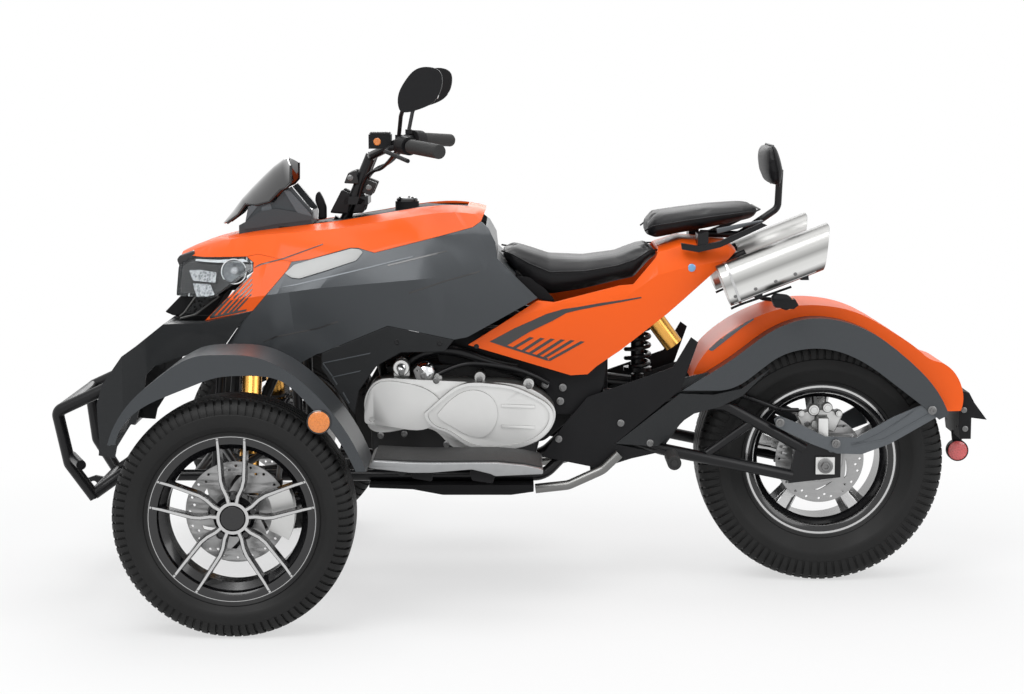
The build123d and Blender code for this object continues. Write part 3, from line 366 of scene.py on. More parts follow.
    vinyl = Finish("seat_cover", paint.seat, 0.48, 0.0, Specular_IOR_Level=0.22)
    grain = vinyl.cells(1.0 / sizes.grain, feature="SMOOTH_F1")
    vinyl.bump(grain + 0.4 * vinyl.noise(900.0), 0.32, 0.0006)
    vinyl.set("Roughness", 0.40 + vinyl.noise(7.0) * 0.16)
    vinyl.vary(vinyl.noise(5.0), 0.6, (0.012, 0.012, 0.013))

    glass = Finish("dark_screen", (0.006, 0.006, 0.007), 0.04, 0.0, Coat_Weight=1.0, Coat_Roughness=0.02)
    glass.set("Roughness", 0.03 + glass.noise(12.0) * 0.04)
    clear = Finish("lamp_glass", (0.86, 0.89, 0.90), 0.03, 0.0, Transmission_Weight=0.96, IOR=1.08)
    clear.set("Roughness", 0.02 + clear.noise(14.0) * 0.04)
    prism = Finish("lamp_prism", (0.22, 0.23, 0.24), 0.16, 0.6)
    facets = prism.cells(140.0)
    prism.vary(facets.ramp(0.15, 0.75), 0.9, (0.62, 0.64, 0.66))
    prism.bump(facets, 0.5, 0.002)
    reflector = Finish("lamp_chrome", (0.82, 0.83, 0.84), 0.08, 1.0)
    reflector.set("Roughness", 0.05 + reflector.noise(30.0) * 0.1)

    for name, shade in (("amber_lens", (0.70, 0.19, 0.015)), ("red_lens", (0.66, 0.085, 0.085))):
        lens = Finish(name, shade, 0.16, 0.0, Coat_Weight=1.0, Coat_Roughness=0.05)
        pattern = lens.cells(260.0)
        lens.bump(pattern, 0.5, 0.0012)
        lens.vary(pattern.ramp(0.1, 0.8), 0.5, [min(1.0, c * 1.5 + 0.02) for c in shade])

    weave = Finish("carbon_weave", (0.010, 0.011, 0.012), 0.3, 0.2, Coat_Weight=0.1, Specular_IOR_Level=0.25)
    x, y, z = weave.axes()
    step = 420.0
    warp = ((x + z) * step).fraction() > 0.5
    weft = ((x - z) * step).fraction() > 0.5
    check = abs(warp - weft)
    weave.vary(check, 0.85, (0.034, 0.036, 0.038))
    weave.bump(check, 0.15, 0.0003)
    weave.set("Roughness", 0.26 + check * 0.14)

    lock = Finish("lock_blue", (0.16, 0.36, 0.62), 0.3, 0.2, Coat_Weight=0.6)
    lock.vary(lock.noise(200.0), 0.4, (0.30, 0.55, 0.80))

    badge = Finish("badge_plate", (0.38, 0.385, 0.38), 0.4, 0.1, Specular_IOR_Level=0.3)
    badge.set("Roughness", 0.26 + badge.noise(40.0) * 0.1)

    decal = Finish("stripe_black", (0.008, 0.008, 0.009), 0.28, 0.0, Coat_Weight=0.8, Coat_Roughness=0.08)
    decal.set("Roughness", 0.26 + decal.noise(9.0) * 0.08)

    zinc = Finish("bolt_steel", (0.20, 0.20, 0.20), 0.34, 1.0)
    zinc.set("Roughness", 0.28 + zinc.noise(80.0) * 0.2)

    floor = Finish("floor_paper", (0.90, 0.90, 0.90), 0.8)
    fx, fy, _ = floor.axes()
    path = floor.tree.nodes.new("ShaderNodeLightPath")
    seen = Wire(floor, path.outputs["Is Camera Ray"]).most(Wire(floor, path.outputs["Is Transmission Ray"]))
    seen = seen.most(Wire(floor, path.outputs["Is Glossy Ray"]))
    far = (0.62 + 0.38 * (fx * fx + fy * fy * 3.0).ramp(1.5, 9.0)) * seen
    glow = floor.node("ShaderNodeEmission", {}, (1.0, 1.0, 1.0, 1.0), 1.0)
    mixed = floor.node("ShaderNodeMixShader", {}, far, Wire(floor, floor.shader.outputs[0]), glow)
    floor.tree.links.new(mixed.socket, floor.output.inputs[0])


# Mesh helpers

def piece(name, mesh, finish, body, slot=None, crease=40, replaces=()):
    """Link a finished mesh as a piece of the object, riding on a body."""
    if isinstance(mesh, bmesh.types.BMesh):
        bmesh.ops.recalc_face_normals(mesh, faces=mesh.faces)
        data = bpy.data.meshes.new(name)
        mesh.to_mesh(data)
        mesh.free()
        mesh = data
    mesh.name = name
    made = bpy.data.objects.new(name, mesh)
    bpy.context.scene.collection.objects.link(made)
    if not mesh.materials:
        mesh.materials.append(material(finish))
    mesh.shade_smooth()
    mesh.set_sharp_from_angle(angle=math.radians(crease))
    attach(made, body)
    if replaces:
        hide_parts(*replaces)
    return made


def grid_faces(mesh, rings, closed_ring=True, closed_path=False):
    """Quads between rings of the same number of vertices."""
    pairs = list(zip(rings, rings[1:])) + ([(rings[-1], rings[0])] if closed_path else [])
    for first, second in pairs:
        count = len(first)
        for i in range(count if closed_ring else count - 1):
            j = (i + 1) % count
            mesh.faces.new((first[i], first[j], second[j], second[i]))


def lathe(profile, centre, steps=96, mesh=None, twist=0.0):
    """A closed (radius, y) profile turned about the axle through centre."""
    mesh = mesh or bmesh.new()
    rings = []
    for step in range(steps):
        angle = 2 * math.pi * step / steps + twist
        rings.append([mesh.verts.new((centre[0] + r * math.cos(angle), centre[1] + y,
                                      centre[2] + r * math.sin(angle))) for r, y in profile])
    grid_faces(mesh, rings, closed_path=True)
    return mesh


def sheet_with_holes(outlines, thickness, bevel=0.0, resolution=2):
    """A flat plate, in a mesh on the XZ plane, from one outer outline and any holes, in metres."""
    curve = bpy.data.curves.new("outline", "CURVE")
    curve.dimensions, curve.fill_mode = "2D", "BOTH"
    curve.extrude = max(thickness / 2 - bevel, 0.0)
    curve.bevel_depth, curve.bevel_resolution, curve.offset = bevel, resolution, -bevel
    for outline in outlines:
        spline = curve.splines.new("POLY")
        spline.points.add(len(outline) - 1)
        for point, (a, b) in zip(spline.points, outline):
            point.co = (a, b, 0, 1)
        spline.use_cyclic_u = True
    holder = bpy.data.objects.new("outline", curve)
    bpy.context.scene.collection.objects.link(holder)
    bpy.context.view_layer.update()
    mesh = bpy.data.meshes.new_from_object(holder.evaluated_get(bpy.context.evaluated_depsgraph_get()))
    bpy.data.objects.remove(holder)
    bpy.data.curves.remove(curve)
    mesh.materials.clear()
    return mesh


def circle(x, z, radius, count=24, start=0.0):
    return [(x + radius * math.cos(start + 2 * math.pi * i / count),
             z + radius * math.sin(start + 2 * math.pi * i / count)) for i in range(count)]


def rounded_outline(points, radius, count=4):
    """Corners of a closed outline replaced by short arcs."""
    made = []
    size = len(points)
    for i in range(size):
        before, at, after = (Vector(points[(i + k) % size]) for k in (-1, 0, 1))
        reach = min(radius, (before - at).length * 0.45, (after - at).length * 0.45)
        start = at + (before - at).normalized() * reach
        end = at + (after - at).normalized() * reach
        for k in range(count + 1):
            t = k / count
            made.append(tuple(start * (1 - t) ** 2 + at * 2 * t * (1 - t) + end * t ** 2))
    return made


def millimetres(points):
    return [tuple(c * MM for c in p) for p in points]


def to_side(mesh, y, bow=None):
    """Turn a flat plate into a side-view one, with its middle at y; bow gives a change of y by (x, z)."""
    made = bmesh.new()
    made.from_mesh(mesh)
    bpy.data.meshes.remove(mesh)
    bmesh.ops.remove_doubles(made, verts=made.verts, dist=1e-6)
    for v in made.verts:
        a, b, c = v.co
        v.co = (a, y - c, b)
        if bow:
            v.co.y += bow(a, b)
    return made


def mirrored(mesh):
    """Add the other side's copy of a mesh."""
    copy = bmesh.ops.duplicate(mesh, geom=mesh.verts[:] + mesh.edges[:] + mesh.faces[:])["geom"]
    for v in copy:
        if isinstance(v, bmesh.types.BMVert):
            v.co.y = -v.co.y
    return mesh


def side_plate(name, outlines, y, thickness, finish, body=CHASSIS, bevel=0.0, both=True, bow=None, **extra):
    """A side-view plate in millimetres, on both sides if asked. y is its middle."""
    flat = sheet_with_holes([millimetres(o) for o in outlines], thickness * MM, bevel * MM)
    mesh = to_side(flat, y * MM, bow)
    if both:
        mirrored(mesh)
    return piece(name, mesh, finish, body, **extra)


def join(mesh, other):
    """Move another bmesh's geometry into this one."""
    data = bpy.data.meshes.new("joined")
    other.to_mesh(data)
    other.free()
    mesh.from_mesh(data)
    bpy.data.meshes.remove(data)
    return mesh


def pipe(points, radius, sides=16, mesh=None, smooth=True, cap=True, resolution=6):
    """A round bar along points in metres, through a NURBS spline where it bends."""
    mesh = mesh or bmesh.new()
    if smooth and len(points) > 2:
        curve = bpy.data.curves.new("route", "CURVE")
        curve.dimensions = "3D"
        spline = curve.splines.new("NURBS")
        spline.points.add(len(points) - 1)
        for point, at in zip(spline.points, points):
            point.co = (*at, 1)
        spline.order_u, spline.use_endpoint_u, spline.resolution_u = 3, True, resolution
        holder = bpy.data.objects.new("route", curve)
        line = bpy.data.meshes.new_from_object(holder)
        points = [v.co.copy() for v in line.vertices]
        bpy.data.objects.remove(holder)
        bpy.data.curves.remove(curve)
        bpy.data.meshes.remove(line)
    points = [Vector(p) for p in points]
    rings, side = [], None
    for i, at in enumerate(points):
        ahead = (points[min(i + 1, len(points) - 1)] - points[max(i - 1, 0)]).normalized()
        if side is None:
            side = ahead.orthogonal().normalized()
        side = (side - ahead * side.dot(ahead)).normalized()
        other = ahead.cross(side)
        r = radius(i / (len(points) - 1)) if callable(radius) else radius
        rings.append([mesh.verts.new(at + side * r * math.cos(2 * math.pi * k / sides)
                                     + other * r * math.sin(2 * math.pi * k / sides)) for k in range(sides)])
    grid_faces(mesh, rings)
    if cap:
        mesh.faces.new(rings[0][::-1])
        mesh.faces.new(rings[-1])
    return mesh


def helix(centre_low, centre_high, radius, wire, turns, per_turn=20, sides=8):
    """A coil spring between two points."""
    low, high = Vector(centre_low), Vector(centre_high)
    along = high - low
    side = along.orthogonal().normalized()
    other = along.normalized().cross(side)
    count = int(turns * per_turn)
    points = []
    for i in range(count + 1):
        angle = 2 * math.pi * i / per_turn
        points.append(low + along * (i / count) + side * radius * math.cos(angle) + other * radius * math.sin(angle))
    return pipe(points, wire, sides, smooth=False)


def softened(node, finish, bevel=0.0022, slot=None, dissolve=2.0, crease=40, segments=2):
    """A copy of a CAD node with its edges rounded, which stands for it."""
    source = frame["nodes"][node]
    mesh = bmesh.new()
    mesh.from_mesh(source.data)
    bmesh.ops.remove_doubles(mesh, verts=mesh.verts, dist=1e-5)
    bmesh.ops.dissolve_limit(mesh, angle_limit=math.radians(dissolve), verts=mesh.verts, edges=mesh.edges)
    data = bpy.data.meshes.new(node + "_looks")
    mesh.to_mesh(data)
    mesh.free()
    data.materials.clear()
    made = piece(node + "_looks", data, finish, source["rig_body"], slot, crease, (node,))
    rounding = made.modifiers.new("edges", "BEVEL")
    rounding.width, rounding.segments, rounding.limit_method = bevel, segments, "ANGLE"
    rounding.angle_limit, rounding.use_clamp_overlap = math.radians(28), True
    rounding.harden_normals = True
    made.data.shade_smooth()
    return made


def dress(finish, *nodes):
    """Give carried-over CAD nodes a finish."""
    for name in nodes:
        if name not in frame["nodes"]:
            raise RuntimeError(f"no CAD node {name}")
        slots = frame["nodes"][name].data.materials
        slots.clear()
        slots.append(material(finish))


def surface(*nodes):
    """The outside of some CAD nodes, for laying trim on it."""
    mesh = bmesh.new()
    for name in nodes:
        mesh.from_mesh(frame["nodes"][name].data)
    return BVHTree.FromBMesh(mesh)


def thickened(mesh, way):
    """Give a sheet a second side, each vertex moved by way(vertex), and close its rim."""
    faces, rim = mesh.faces[:], [e for e in mesh.edges if e.is_boundary]
    top = {v: mesh.verts.new(v.co + way(v)) for v in mesh.verts[:]}
    for face in faces:
        mesh.faces.new([top[v] for v in face.verts])
    for edge in rim:
        a, b = edge.verts
        mesh.faces.new((a, b, top[b], top[a]))
    bmesh.ops.recalc_face_normals(mesh, faces=mesh.faces)
    return mesh


def laid(outlines, host, lift, thickness, step=0.010, fallback=0.2):
    """A thin sheet, in side-view millimetres, laid from the left on a surface, and its mirrored copy."""
    flat = sheet_with_holes([millimetres(o) for o in outlines], 0.0)
    mesh = to_side(flat, 0.0)
    bmesh.ops.triangulate(mesh, faces=mesh.faces)
    long_edges = [e for e in mesh.edges if e.calc_length() > step]
    while long_edges:
        bmesh.ops.subdivide_edges(mesh, edges=long_edges, cuts=1, use_grid_fill=False)
        bmesh.ops.triangulate(mesh, faces=mesh.faces)
        long_edges = [e for e in mesh.edges if e.calc_length() > step * 1.6][:4000]
    for v in mesh.verts:
        hit = host.ray_cast(Vector((v.co.x, 0.9, v.co.z)), Vector((0, -1, 0)))[0]
        if hit is None:
            hit = host.find_nearest(Vector((v.co.x, fallback, v.co.z)))[0]
        v.co = hit + Vector((0, lift * MM, 0))
    return mirrored(thickened(mesh, lambda v: Vector((0, thickness * MM, 0))))


def leaning(outline, host, lift):
    """The y of a flat plate by its (x, z), in metres, laid on a surface by the corners of its outline."""
    spots = [(x * MM, z * MM, host.ray_cast(Vector((x * MM, 0.9, z * MM)), Vector((0, -1, 0)))[0]) for x, z in outline]
    spots = [(x, z, hit.y) for x, z, hit in spots if hit is not None]
    table = np.array([(x, z, 1.0) for x, z, _ in spots])
    across, upwards, level = np.linalg.lstsq(table, np.array([y for *_, y in spots]), rcond=None)[0]
    level += max(y - across * x - upwards * z - level for x, z, y in spots) + lift * MM
    return lambda x, z: across * x + upwards * z + level


def ring_tree():
    """Geometry Nodes: copies of a mesh turned about the axle, with inputs Count, Centre and Finish."""
    if "trike_ring" in bpy.data.node_groups:
        return bpy.data.node_groups["trike_ring"]
    tree = bpy.data.node_groups.new("trike_ring", "GeometryNodeTree")
    for name, kind in (("Geometry", "NodeSocketGeometry"), ("Count", "NodeSocketInt"),
                       ("Centre", "NodeSocketVector"), ("Sweep", "NodeSocketFloat"), ("Finish", "NodeSocketMaterial")):
        tree.interface.new_socket(name=name, in_out="INPUT", socket_type=kind)
    tree.interface.new_socket(name="Geometry", in_out="OUTPUT", socket_type="NodeSocketGeometry")
    new, link = tree.nodes.new, tree.links.new
    given, result = new("NodeGroupInput"), new("NodeGroupOutput")
    points = new("GeometryNodeMeshLine")
    points.mode = "OFFSET"
    points.inputs["Offset"].default_value = (0, 0, 0)
    link(given.outputs["Count"], points.inputs["Count"])
    copies = new("GeometryNodeInstanceOnPoints")
    back = new("GeometryNodeTransform")
    minus = new("ShaderNodeVectorMath")
    minus.operation = "SCALE"
    minus.inputs["Scale"].default_value = -1
    link(given.outputs["Centre"], minus.inputs[0])
    link(minus.outputs[0], back.inputs["Translation"])
    link(given.outputs["Geometry"], back.inputs["Geometry"])
    link(points.outputs[0], copies.inputs["Points"])
    link(back.outputs[0], copies.inputs["Instance"])
    index = new("GeometryNodeInputIndex")
    share = new("ShaderNodeMath")
    share.operation = "DIVIDE"
    link(index.outputs[0], share.inputs[0])
    link(given.outputs["Count"], share.inputs[1])
    angle = new("ShaderNodeMath")
    angle.operation = "MULTIPLY"
    link(share.outputs[0], angle.inputs[0])
    link(given.outputs["Sweep"], angle.inputs[1])
    euler = new("ShaderNodeCombineXYZ")
    link(angle.outputs[0], euler.inputs["Y"])
    link(euler.outputs[0], copies.inputs["Rotation"])
    forth = new("GeometryNodeTransform")
    link(given.outputs["Centre"], forth.inputs["Translation"])
    real = new("GeometryNodeRealizeInstances")
    paint = new("GeometryNodeSetMaterial")
    link(copies.outputs[0], real.inputs[0])
    link(real.outputs[0], forth.inputs["Geometry"])
    link(forth.outputs[0], paint.inputs["Geometry"])
    link(given.outputs["Finish"], paint.inputs["Material"])
    link(paint.outputs[0], result.inputs[0])
    return tree


def ringed(mesh, count, centre, finish, sweep=2 * math.pi):
    """The mesh that Geometry Nodes make of a pattern repeated round an axle."""
    bmesh.ops.recalc_face_normals(mesh, faces=mesh.faces)
    data = bpy.data.meshes.new("pattern")
    mesh.to_mesh(data)
    mesh.free()
    holder = bpy.data.objects.new("pattern", data)
    bpy.context.scene.collection.objects.link(holder)
    tree = ring_tree()
    repeat = holder.modifiers.new("ring", "NODES")
    repeat.node_group = tree
    sockets = {s.name: s.identifier for s in tree.interface.items_tree if s.in_out == "INPUT"}
    repeat[sockets["Count"]] = count
    repeat[sockets["Centre"]] = tuple(centre)
    repeat[sockets["Sweep"]] = sweep
    repeat[sockets["Finish"]] = material(finish)
    bpy.context.view_layer.update()
    result = bpy.data.meshes.new_from_object(holder.evaluated_get(bpy.context.evaluated_depsgraph_get()))
    holder.modifiers.remove(repeat)
    bpy.data.objects.remove(holder)
    return result


def moved_copy(mesh, shift=(0, 0, 0), flip=False):
    """A copy of a plain mesh, moved, and mirrored across the middle plane if asked."""
    copy = bmesh.new()
    copy.from_mesh(mesh)
    for v in copy.verts:
        v.co = Vector((v.co.x, -v.co.y if flip else v.co.y, v.co.z)) + Vector(shift)
    if flip:
        bmesh.ops.reverse_faces(copy, faces=copy.faces)
    data = bpy.data.meshes.new("copy")
    copy.to_mesh(data)
    copy.free()
    for finish in mesh.materials:
        data.materials.append(finish)
    return data


def copies_tree():
    """Geometry Nodes: a copy of a pattern at each point, with inputs Pattern and Finish."""
    if "trike_copies" in bpy.data.node_groups:
        return bpy.data.node_groups["trike_copies"]
    tree = bpy.data.node_groups.new("trike_copies", "GeometryNodeTree")
    for name, kind in (("Geometry", "NodeSocketGeometry"), ("Pattern", "NodeSocketObject"),
                       ("Finish", "NodeSocketMaterial")):
        tree.interface.new_socket(name=name, in_out="INPUT", socket_type=kind)
    tree.interface.new_socket(name="Geometry", in_out="OUTPUT", socket_type="NodeSocketGeometry")
    new, link = tree.nodes.new, tree.links.new
    given, result, pattern = new("NodeGroupInput"), new("NodeGroupOutput"), new("GeometryNodeObjectInfo")
    copies, real, paint = (new("GeometryNodeInstanceOnPoints"), new("GeometryNodeRealizeInstances"),
                           new("GeometryNodeSetMaterial"))
    link(given.outputs["Pattern"], pattern.inputs["Object"])
    link(given.outputs["Geometry"], copies.inputs["Points"])
    link(pattern.outputs["Geometry"], copies.inputs["Instance"])
    link(copies.outputs[0], real.inputs[0])
    link(real.outputs[0], paint.inputs["Geometry"])
    link(given.outputs["Finish"], paint.inputs["Material"])
    link(paint.outputs[0], result.inputs[0])
    return tree


def copied(pattern, places, finish):
    """The mesh that Geometry Nodes make of a pattern repeated at places, in metres."""
    shape = bpy.data.meshes.new("pattern")
    bmesh.ops.recalc_face_normals(pattern, faces=pattern.faces)
    pattern.to_mesh(shape)
    pattern.free()
    model = bpy.data.objects.new("pattern", shape)
    spots = bpy.data.meshes.new("places")
    spots.from_pydata([tuple(p) for p in places], [], [])
    holder = bpy.data.objects.new("places", spots)
    for made in (model, holder):
        bpy.context.scene.collection.objects.link(made)
    tree = copies_tree()
    repeat = holder.modifiers.new("copies", "NODES")
    repeat.node_group = tree
    sockets = {s.name: s.identifier for s in tree.interface.items_tree if s.in_out == "INPUT"}
    repeat[sockets["Pattern"]] = model
    repeat[sockets["Finish"]] = material(finish)
    bpy.context.view_layer.update()
    result = bpy.data.meshes.new_from_object(holder.evaluated_get(bpy.context.evaluated_depsgraph_get()))
    holder.modifiers.remove(repeat)
    bpy.data.objects.remove(holder)
    bpy.data.objects.remove(model)
    return result


def bolt_head(radius):
    """A hexagon head with a socket, on a flange, that faces +Y."""
    flange = [(0.0003, -radius * 0.4), (radius * 1.45, -radius * 0.4), (radius * 1.45, radius * 0.22),
              (radius * 1.15, radius * 0.36), (0.0003, radius * 0.36)]
    head = [(0.0003, radius * 0.3), (radius, radius * 0.3), (radius, radius * 0.85), (radius * 0.86, radius),
            (radius * 0.5, radius), (radius * 0.42, radius * 0.7), (0.0003, radius * 0.7)]
    return join(lathe(flange, (0, 0, 0), 18), lathe(head, (0, 0, 0), 6))


def bolts(name, places, radius, finish="bolt_steel", body=CHASSIS, both=True):
    """Bolt heads at (x, y, z) places in millimetres, facing outwards, on both sides if asked."""
    mesh = bmesh.new()
    mesh.from_mesh(copied(bolt_head(radius * MM), millimetres(places), finish))
    if both:
        mirrored(mesh)
    return piece(name, mesh, finish, body, None, 30)


def upturned(mesh, centre):
    """Stand a part made about Y at the origin on the Z axis, at a place."""
    for v in mesh.verts:
        v.co = Vector((v.co.x, v.co.z, v.co.y)) + Vector(centre)
    return mesh


def edging(outlines, width):
    """Closed outlines made into bands of a width, each with its hole, in millimetres."""
    made = []
    for outline in outlines:
        middle = sum((Vector(p) for p in outline), Vector((0, 0))) / len(outline)
        inner = []
        for i, point in enumerate(outline):
            before, after = Vector(outline[i - 1]), Vector(outline[(i + 1) % len(outline)])
            way = (after - before).normalized()
            aside = Vector((-way.y, way.x))
            if aside.dot(middle - Vector(point)) < 0:
                aside = -aside
            inner.append(tuple(Vector(point) + aside * width))
        made += [list(outline), inner]
    return made


# The trike's pieces

class TRIKE_OT_finishes(bpy.types.Operator):
    """Make the finishes and give every carried-over CAD node its own."""
    bl_idname = "trike.finishes"
    bl_label = "Finishes"

    finish_of = {
        "orange_gloss": ("hood", "side_cowls", "tail_body", "rear_mudguard"),
        "red_lens": ("tail_lamp",),
        "grey_metallic": ("side_panels", "nose_fairing", "front_mudguards", "rear_arches"),
        "leg_plastic": ("leg_panels",),
        "black_plastic": ("console", "instrument_cowl", "grille", "mirrors", "plate_bracket", "frame_covers",
                          "belly_pan", "mudguard_stays", "turn_signals", "controls"),
        "carbon_weave": ("swing_covers",),
        "seat_cover": ("rider_seat", "pillion_seat", "backrest_pad"),
        "dark_screen": ("windscreen",),
        "lamp_glass": ("headlamps",),
        "frame_black": ("frame", "swing_arm", "bull_bar", "handlebar", "grab_rails", "backrest_post", "control_arms",
                        "tie_rod_left", "tie_rod_right", "knuckle_left", "knuckle_right"),
        "cast_dark": ("engine",),
        "cast_silver": ("drive_cover", "footboards", "rear_axle", "rear_caliper", "front_caliper_left",
                        "front_caliper_right"),
        "brushed_silver": ("silencers", "exhaust_pipes"),
        "gold_metal": ("front_shocks", "shock_reservoir"),
        "disc_steel": ("front_disc_left", "front_disc_right", "rear_disc"),
        "rim_black": ("front_rim_left", "front_rim_right", "rear_rim"),
        "tyre_rubber": ("front_tyre_left", "front_tyre_right", "rear_tyre"),
        "grip_rubber": ("grips", "foot_pegs"),
        "bolt_steel": ("rear_shock",),
    }

    def execute(self, context):
        make_finishes(context.scene.trike_paint, context.scene.trike_sizes)
        for finish, nodes in self.finish_of.items():
            dress(finish, *nodes)
        own = [made.material for made in Finish.made.values()]
        left = [n for n, o in frame["nodes"].items() if not any(m in own for m in o.data.materials)]
        if left:
            raise RuntimeError(f"nodes with no finish: {left}")
        return {"FINISHED"}


class TRIKE_OT_tyres(bpy.types.Operator):
    """Build the tyres: a moulded carcass with a grooved tread."""
    bl_idname = "trike.tyres"
    bl_label = "Tyres"

    def carcass(self, rim_half, half, radius, depth):
        """The (radius, y) profile, with ribs and circumferential grooves."""
        bead, flange = 0.1785, 0.1935
        side = [(bead, -rim_half + 0.030), (bead, -rim_half + 0.010), (flange + 0.001, -rim_half - 0.001),
                (flange + 0.006, -rim_half - 0.004), (flange + 0.008, -rim_half - 0.0022),
                ((flange + radius) / 2 - 0.022, -half + 0.004), ((flange + radius) / 2 - 0.020, -half + 0.0022),
                ((flange + radius) / 2 - 0.008, -half), ((flange + radius) / 2 + 0.006, -half + 0.0006),
                ((flange + radius) / 2 + 0.008, -half + 0.0022), (radius - 0.046, -half + 0.003),
                (radius - 0.034, -half + 0.005), (radius - 0.022, -half + 0.0095), (radius - 0.013, -half + 0.015)]
        crown = [(radius - 0.006 - depth, -half + 0.020), (radius - 0.0025 - depth, -half + 0.030)]
        ribs = []
        width = 2 * (half - 0.034)
        count = 4
        for i in range(count):
            a = -half + 0.034 + width * (i + 0.12) / count
            b = -half + 0.034 + width * (i + 0.88) / count
            def drop(y):
                return 0.004 * (y / half) ** 2
            ribs += [(radius - depth - drop(a), a - 0.0012), (radius - drop(a), a), (radius - drop(b), b),
                     (radius - depth - drop(b), b + 0.0012)]
        left = side + crown
        return left + ribs + [(r, -y) for r, y in reversed(left)]

    def blocks(self, half, radius, count, centre, depth):
        """Shoulder blocks that repeat round the tyre."""
        step = 2 * math.pi / count
        mesh = bmesh.new()
        for sign, phase in ((1, 0.0), (-1, 0.5)):
            rings = []
            for k, angle in ((0, -0.34), (1, 0.34)):
                ring = []
                for y, low, high, skew in ((half - 0.0022, 0.060, 0.044, 0.20), (half - 0.0012, 0.046, 0.030, 0.18),
                                           (half - 0.0040, 0.032, 0.0215, 0.16), (half - 0.0115, 0.022, 0.0100, 0.12),
                                           (half - 0.020, 0.012, 0.0035, 0.06), (half - 0.032, 0.009, 0.0016, 0.0)):
                    turn = (angle + phase + skew) * step
                    ring.append([(radius - r) * 1.0 for r in (low, high)] + [y * sign, turn])
                rings.append(ring)
            verts = {}
            for k, ring in enumerate(rings):
                for i, (low, high, y, turn) in enumerate(ring):
                    for level, r in ((0, low), (1, high)):
                        verts[k, i, level] = mesh.verts.new((centre[0] + r * math.cos(turn), centre[1] + y,
                                                             centre[2] + r * math.sin(turn)))
            last = len(rings[0]) - 1
            for i in range(last):
                mesh.faces.new([verts[0, i, 1], verts[0, i + 1, 1], verts[1, i + 1, 1], verts[1, i, 1]])
                for k in (0, 1):
                    mesh.faces.new([verts[k, i, 0], verts[k, i + 1, 0], verts[k, i + 1, 1], verts[k, i, 1]])
            for i in (0, last):
                mesh.faces.new([verts[0, i, 0], verts[1, i, 0], verts[1, i, 1], verts[0, i, 1]])
        return mesh

    def execute(self, context):
        sizes = context.scene.trike_sizes
        depth = sizes.tread_depth
        for kind, rim_half, half, radius, axle in (("front", 0.067, 0.0825, 0.277, FRONT_AXLE),
                                                   ("rear", 0.082, 0.1025, 0.311, REAR_AXLE)):
            body = lathe(self.carcass(rim_half, half, radius, depth), axle, 120)
            count = sizes.tread_blocks
            blocks = ringed(self.blocks(half, radius, count, axle, depth), count, axle, "tyre_rubber")
            whole = bmesh.new()
            join(whole, body)
            whole.from_mesh(blocks)
            data = bpy.data.meshes.new("tyre")
            bmesh.ops.recalc_face_normals(whole, faces=whole.faces)
            whole.to_mesh(data)
            whole.free()
            data.materials.append(material("tyre_rubber"))
            if kind == "rear":
                piece("rear_tyre_tread", data, "tyre_rubber", REAR_WHEEL, "tyre_rubber", 34, ("rear_tyre",))
                continue
            for hand, side in HANDS:
                piece(f"front_tyre_{hand}_tread", moved_copy(data, flip=side < 0), "tyre_rubber", f"wheel_front_{hand}",
                      "tyre_rubber", 34, (f"front_tyre_{hand}",))
        return {"FINISHED"}


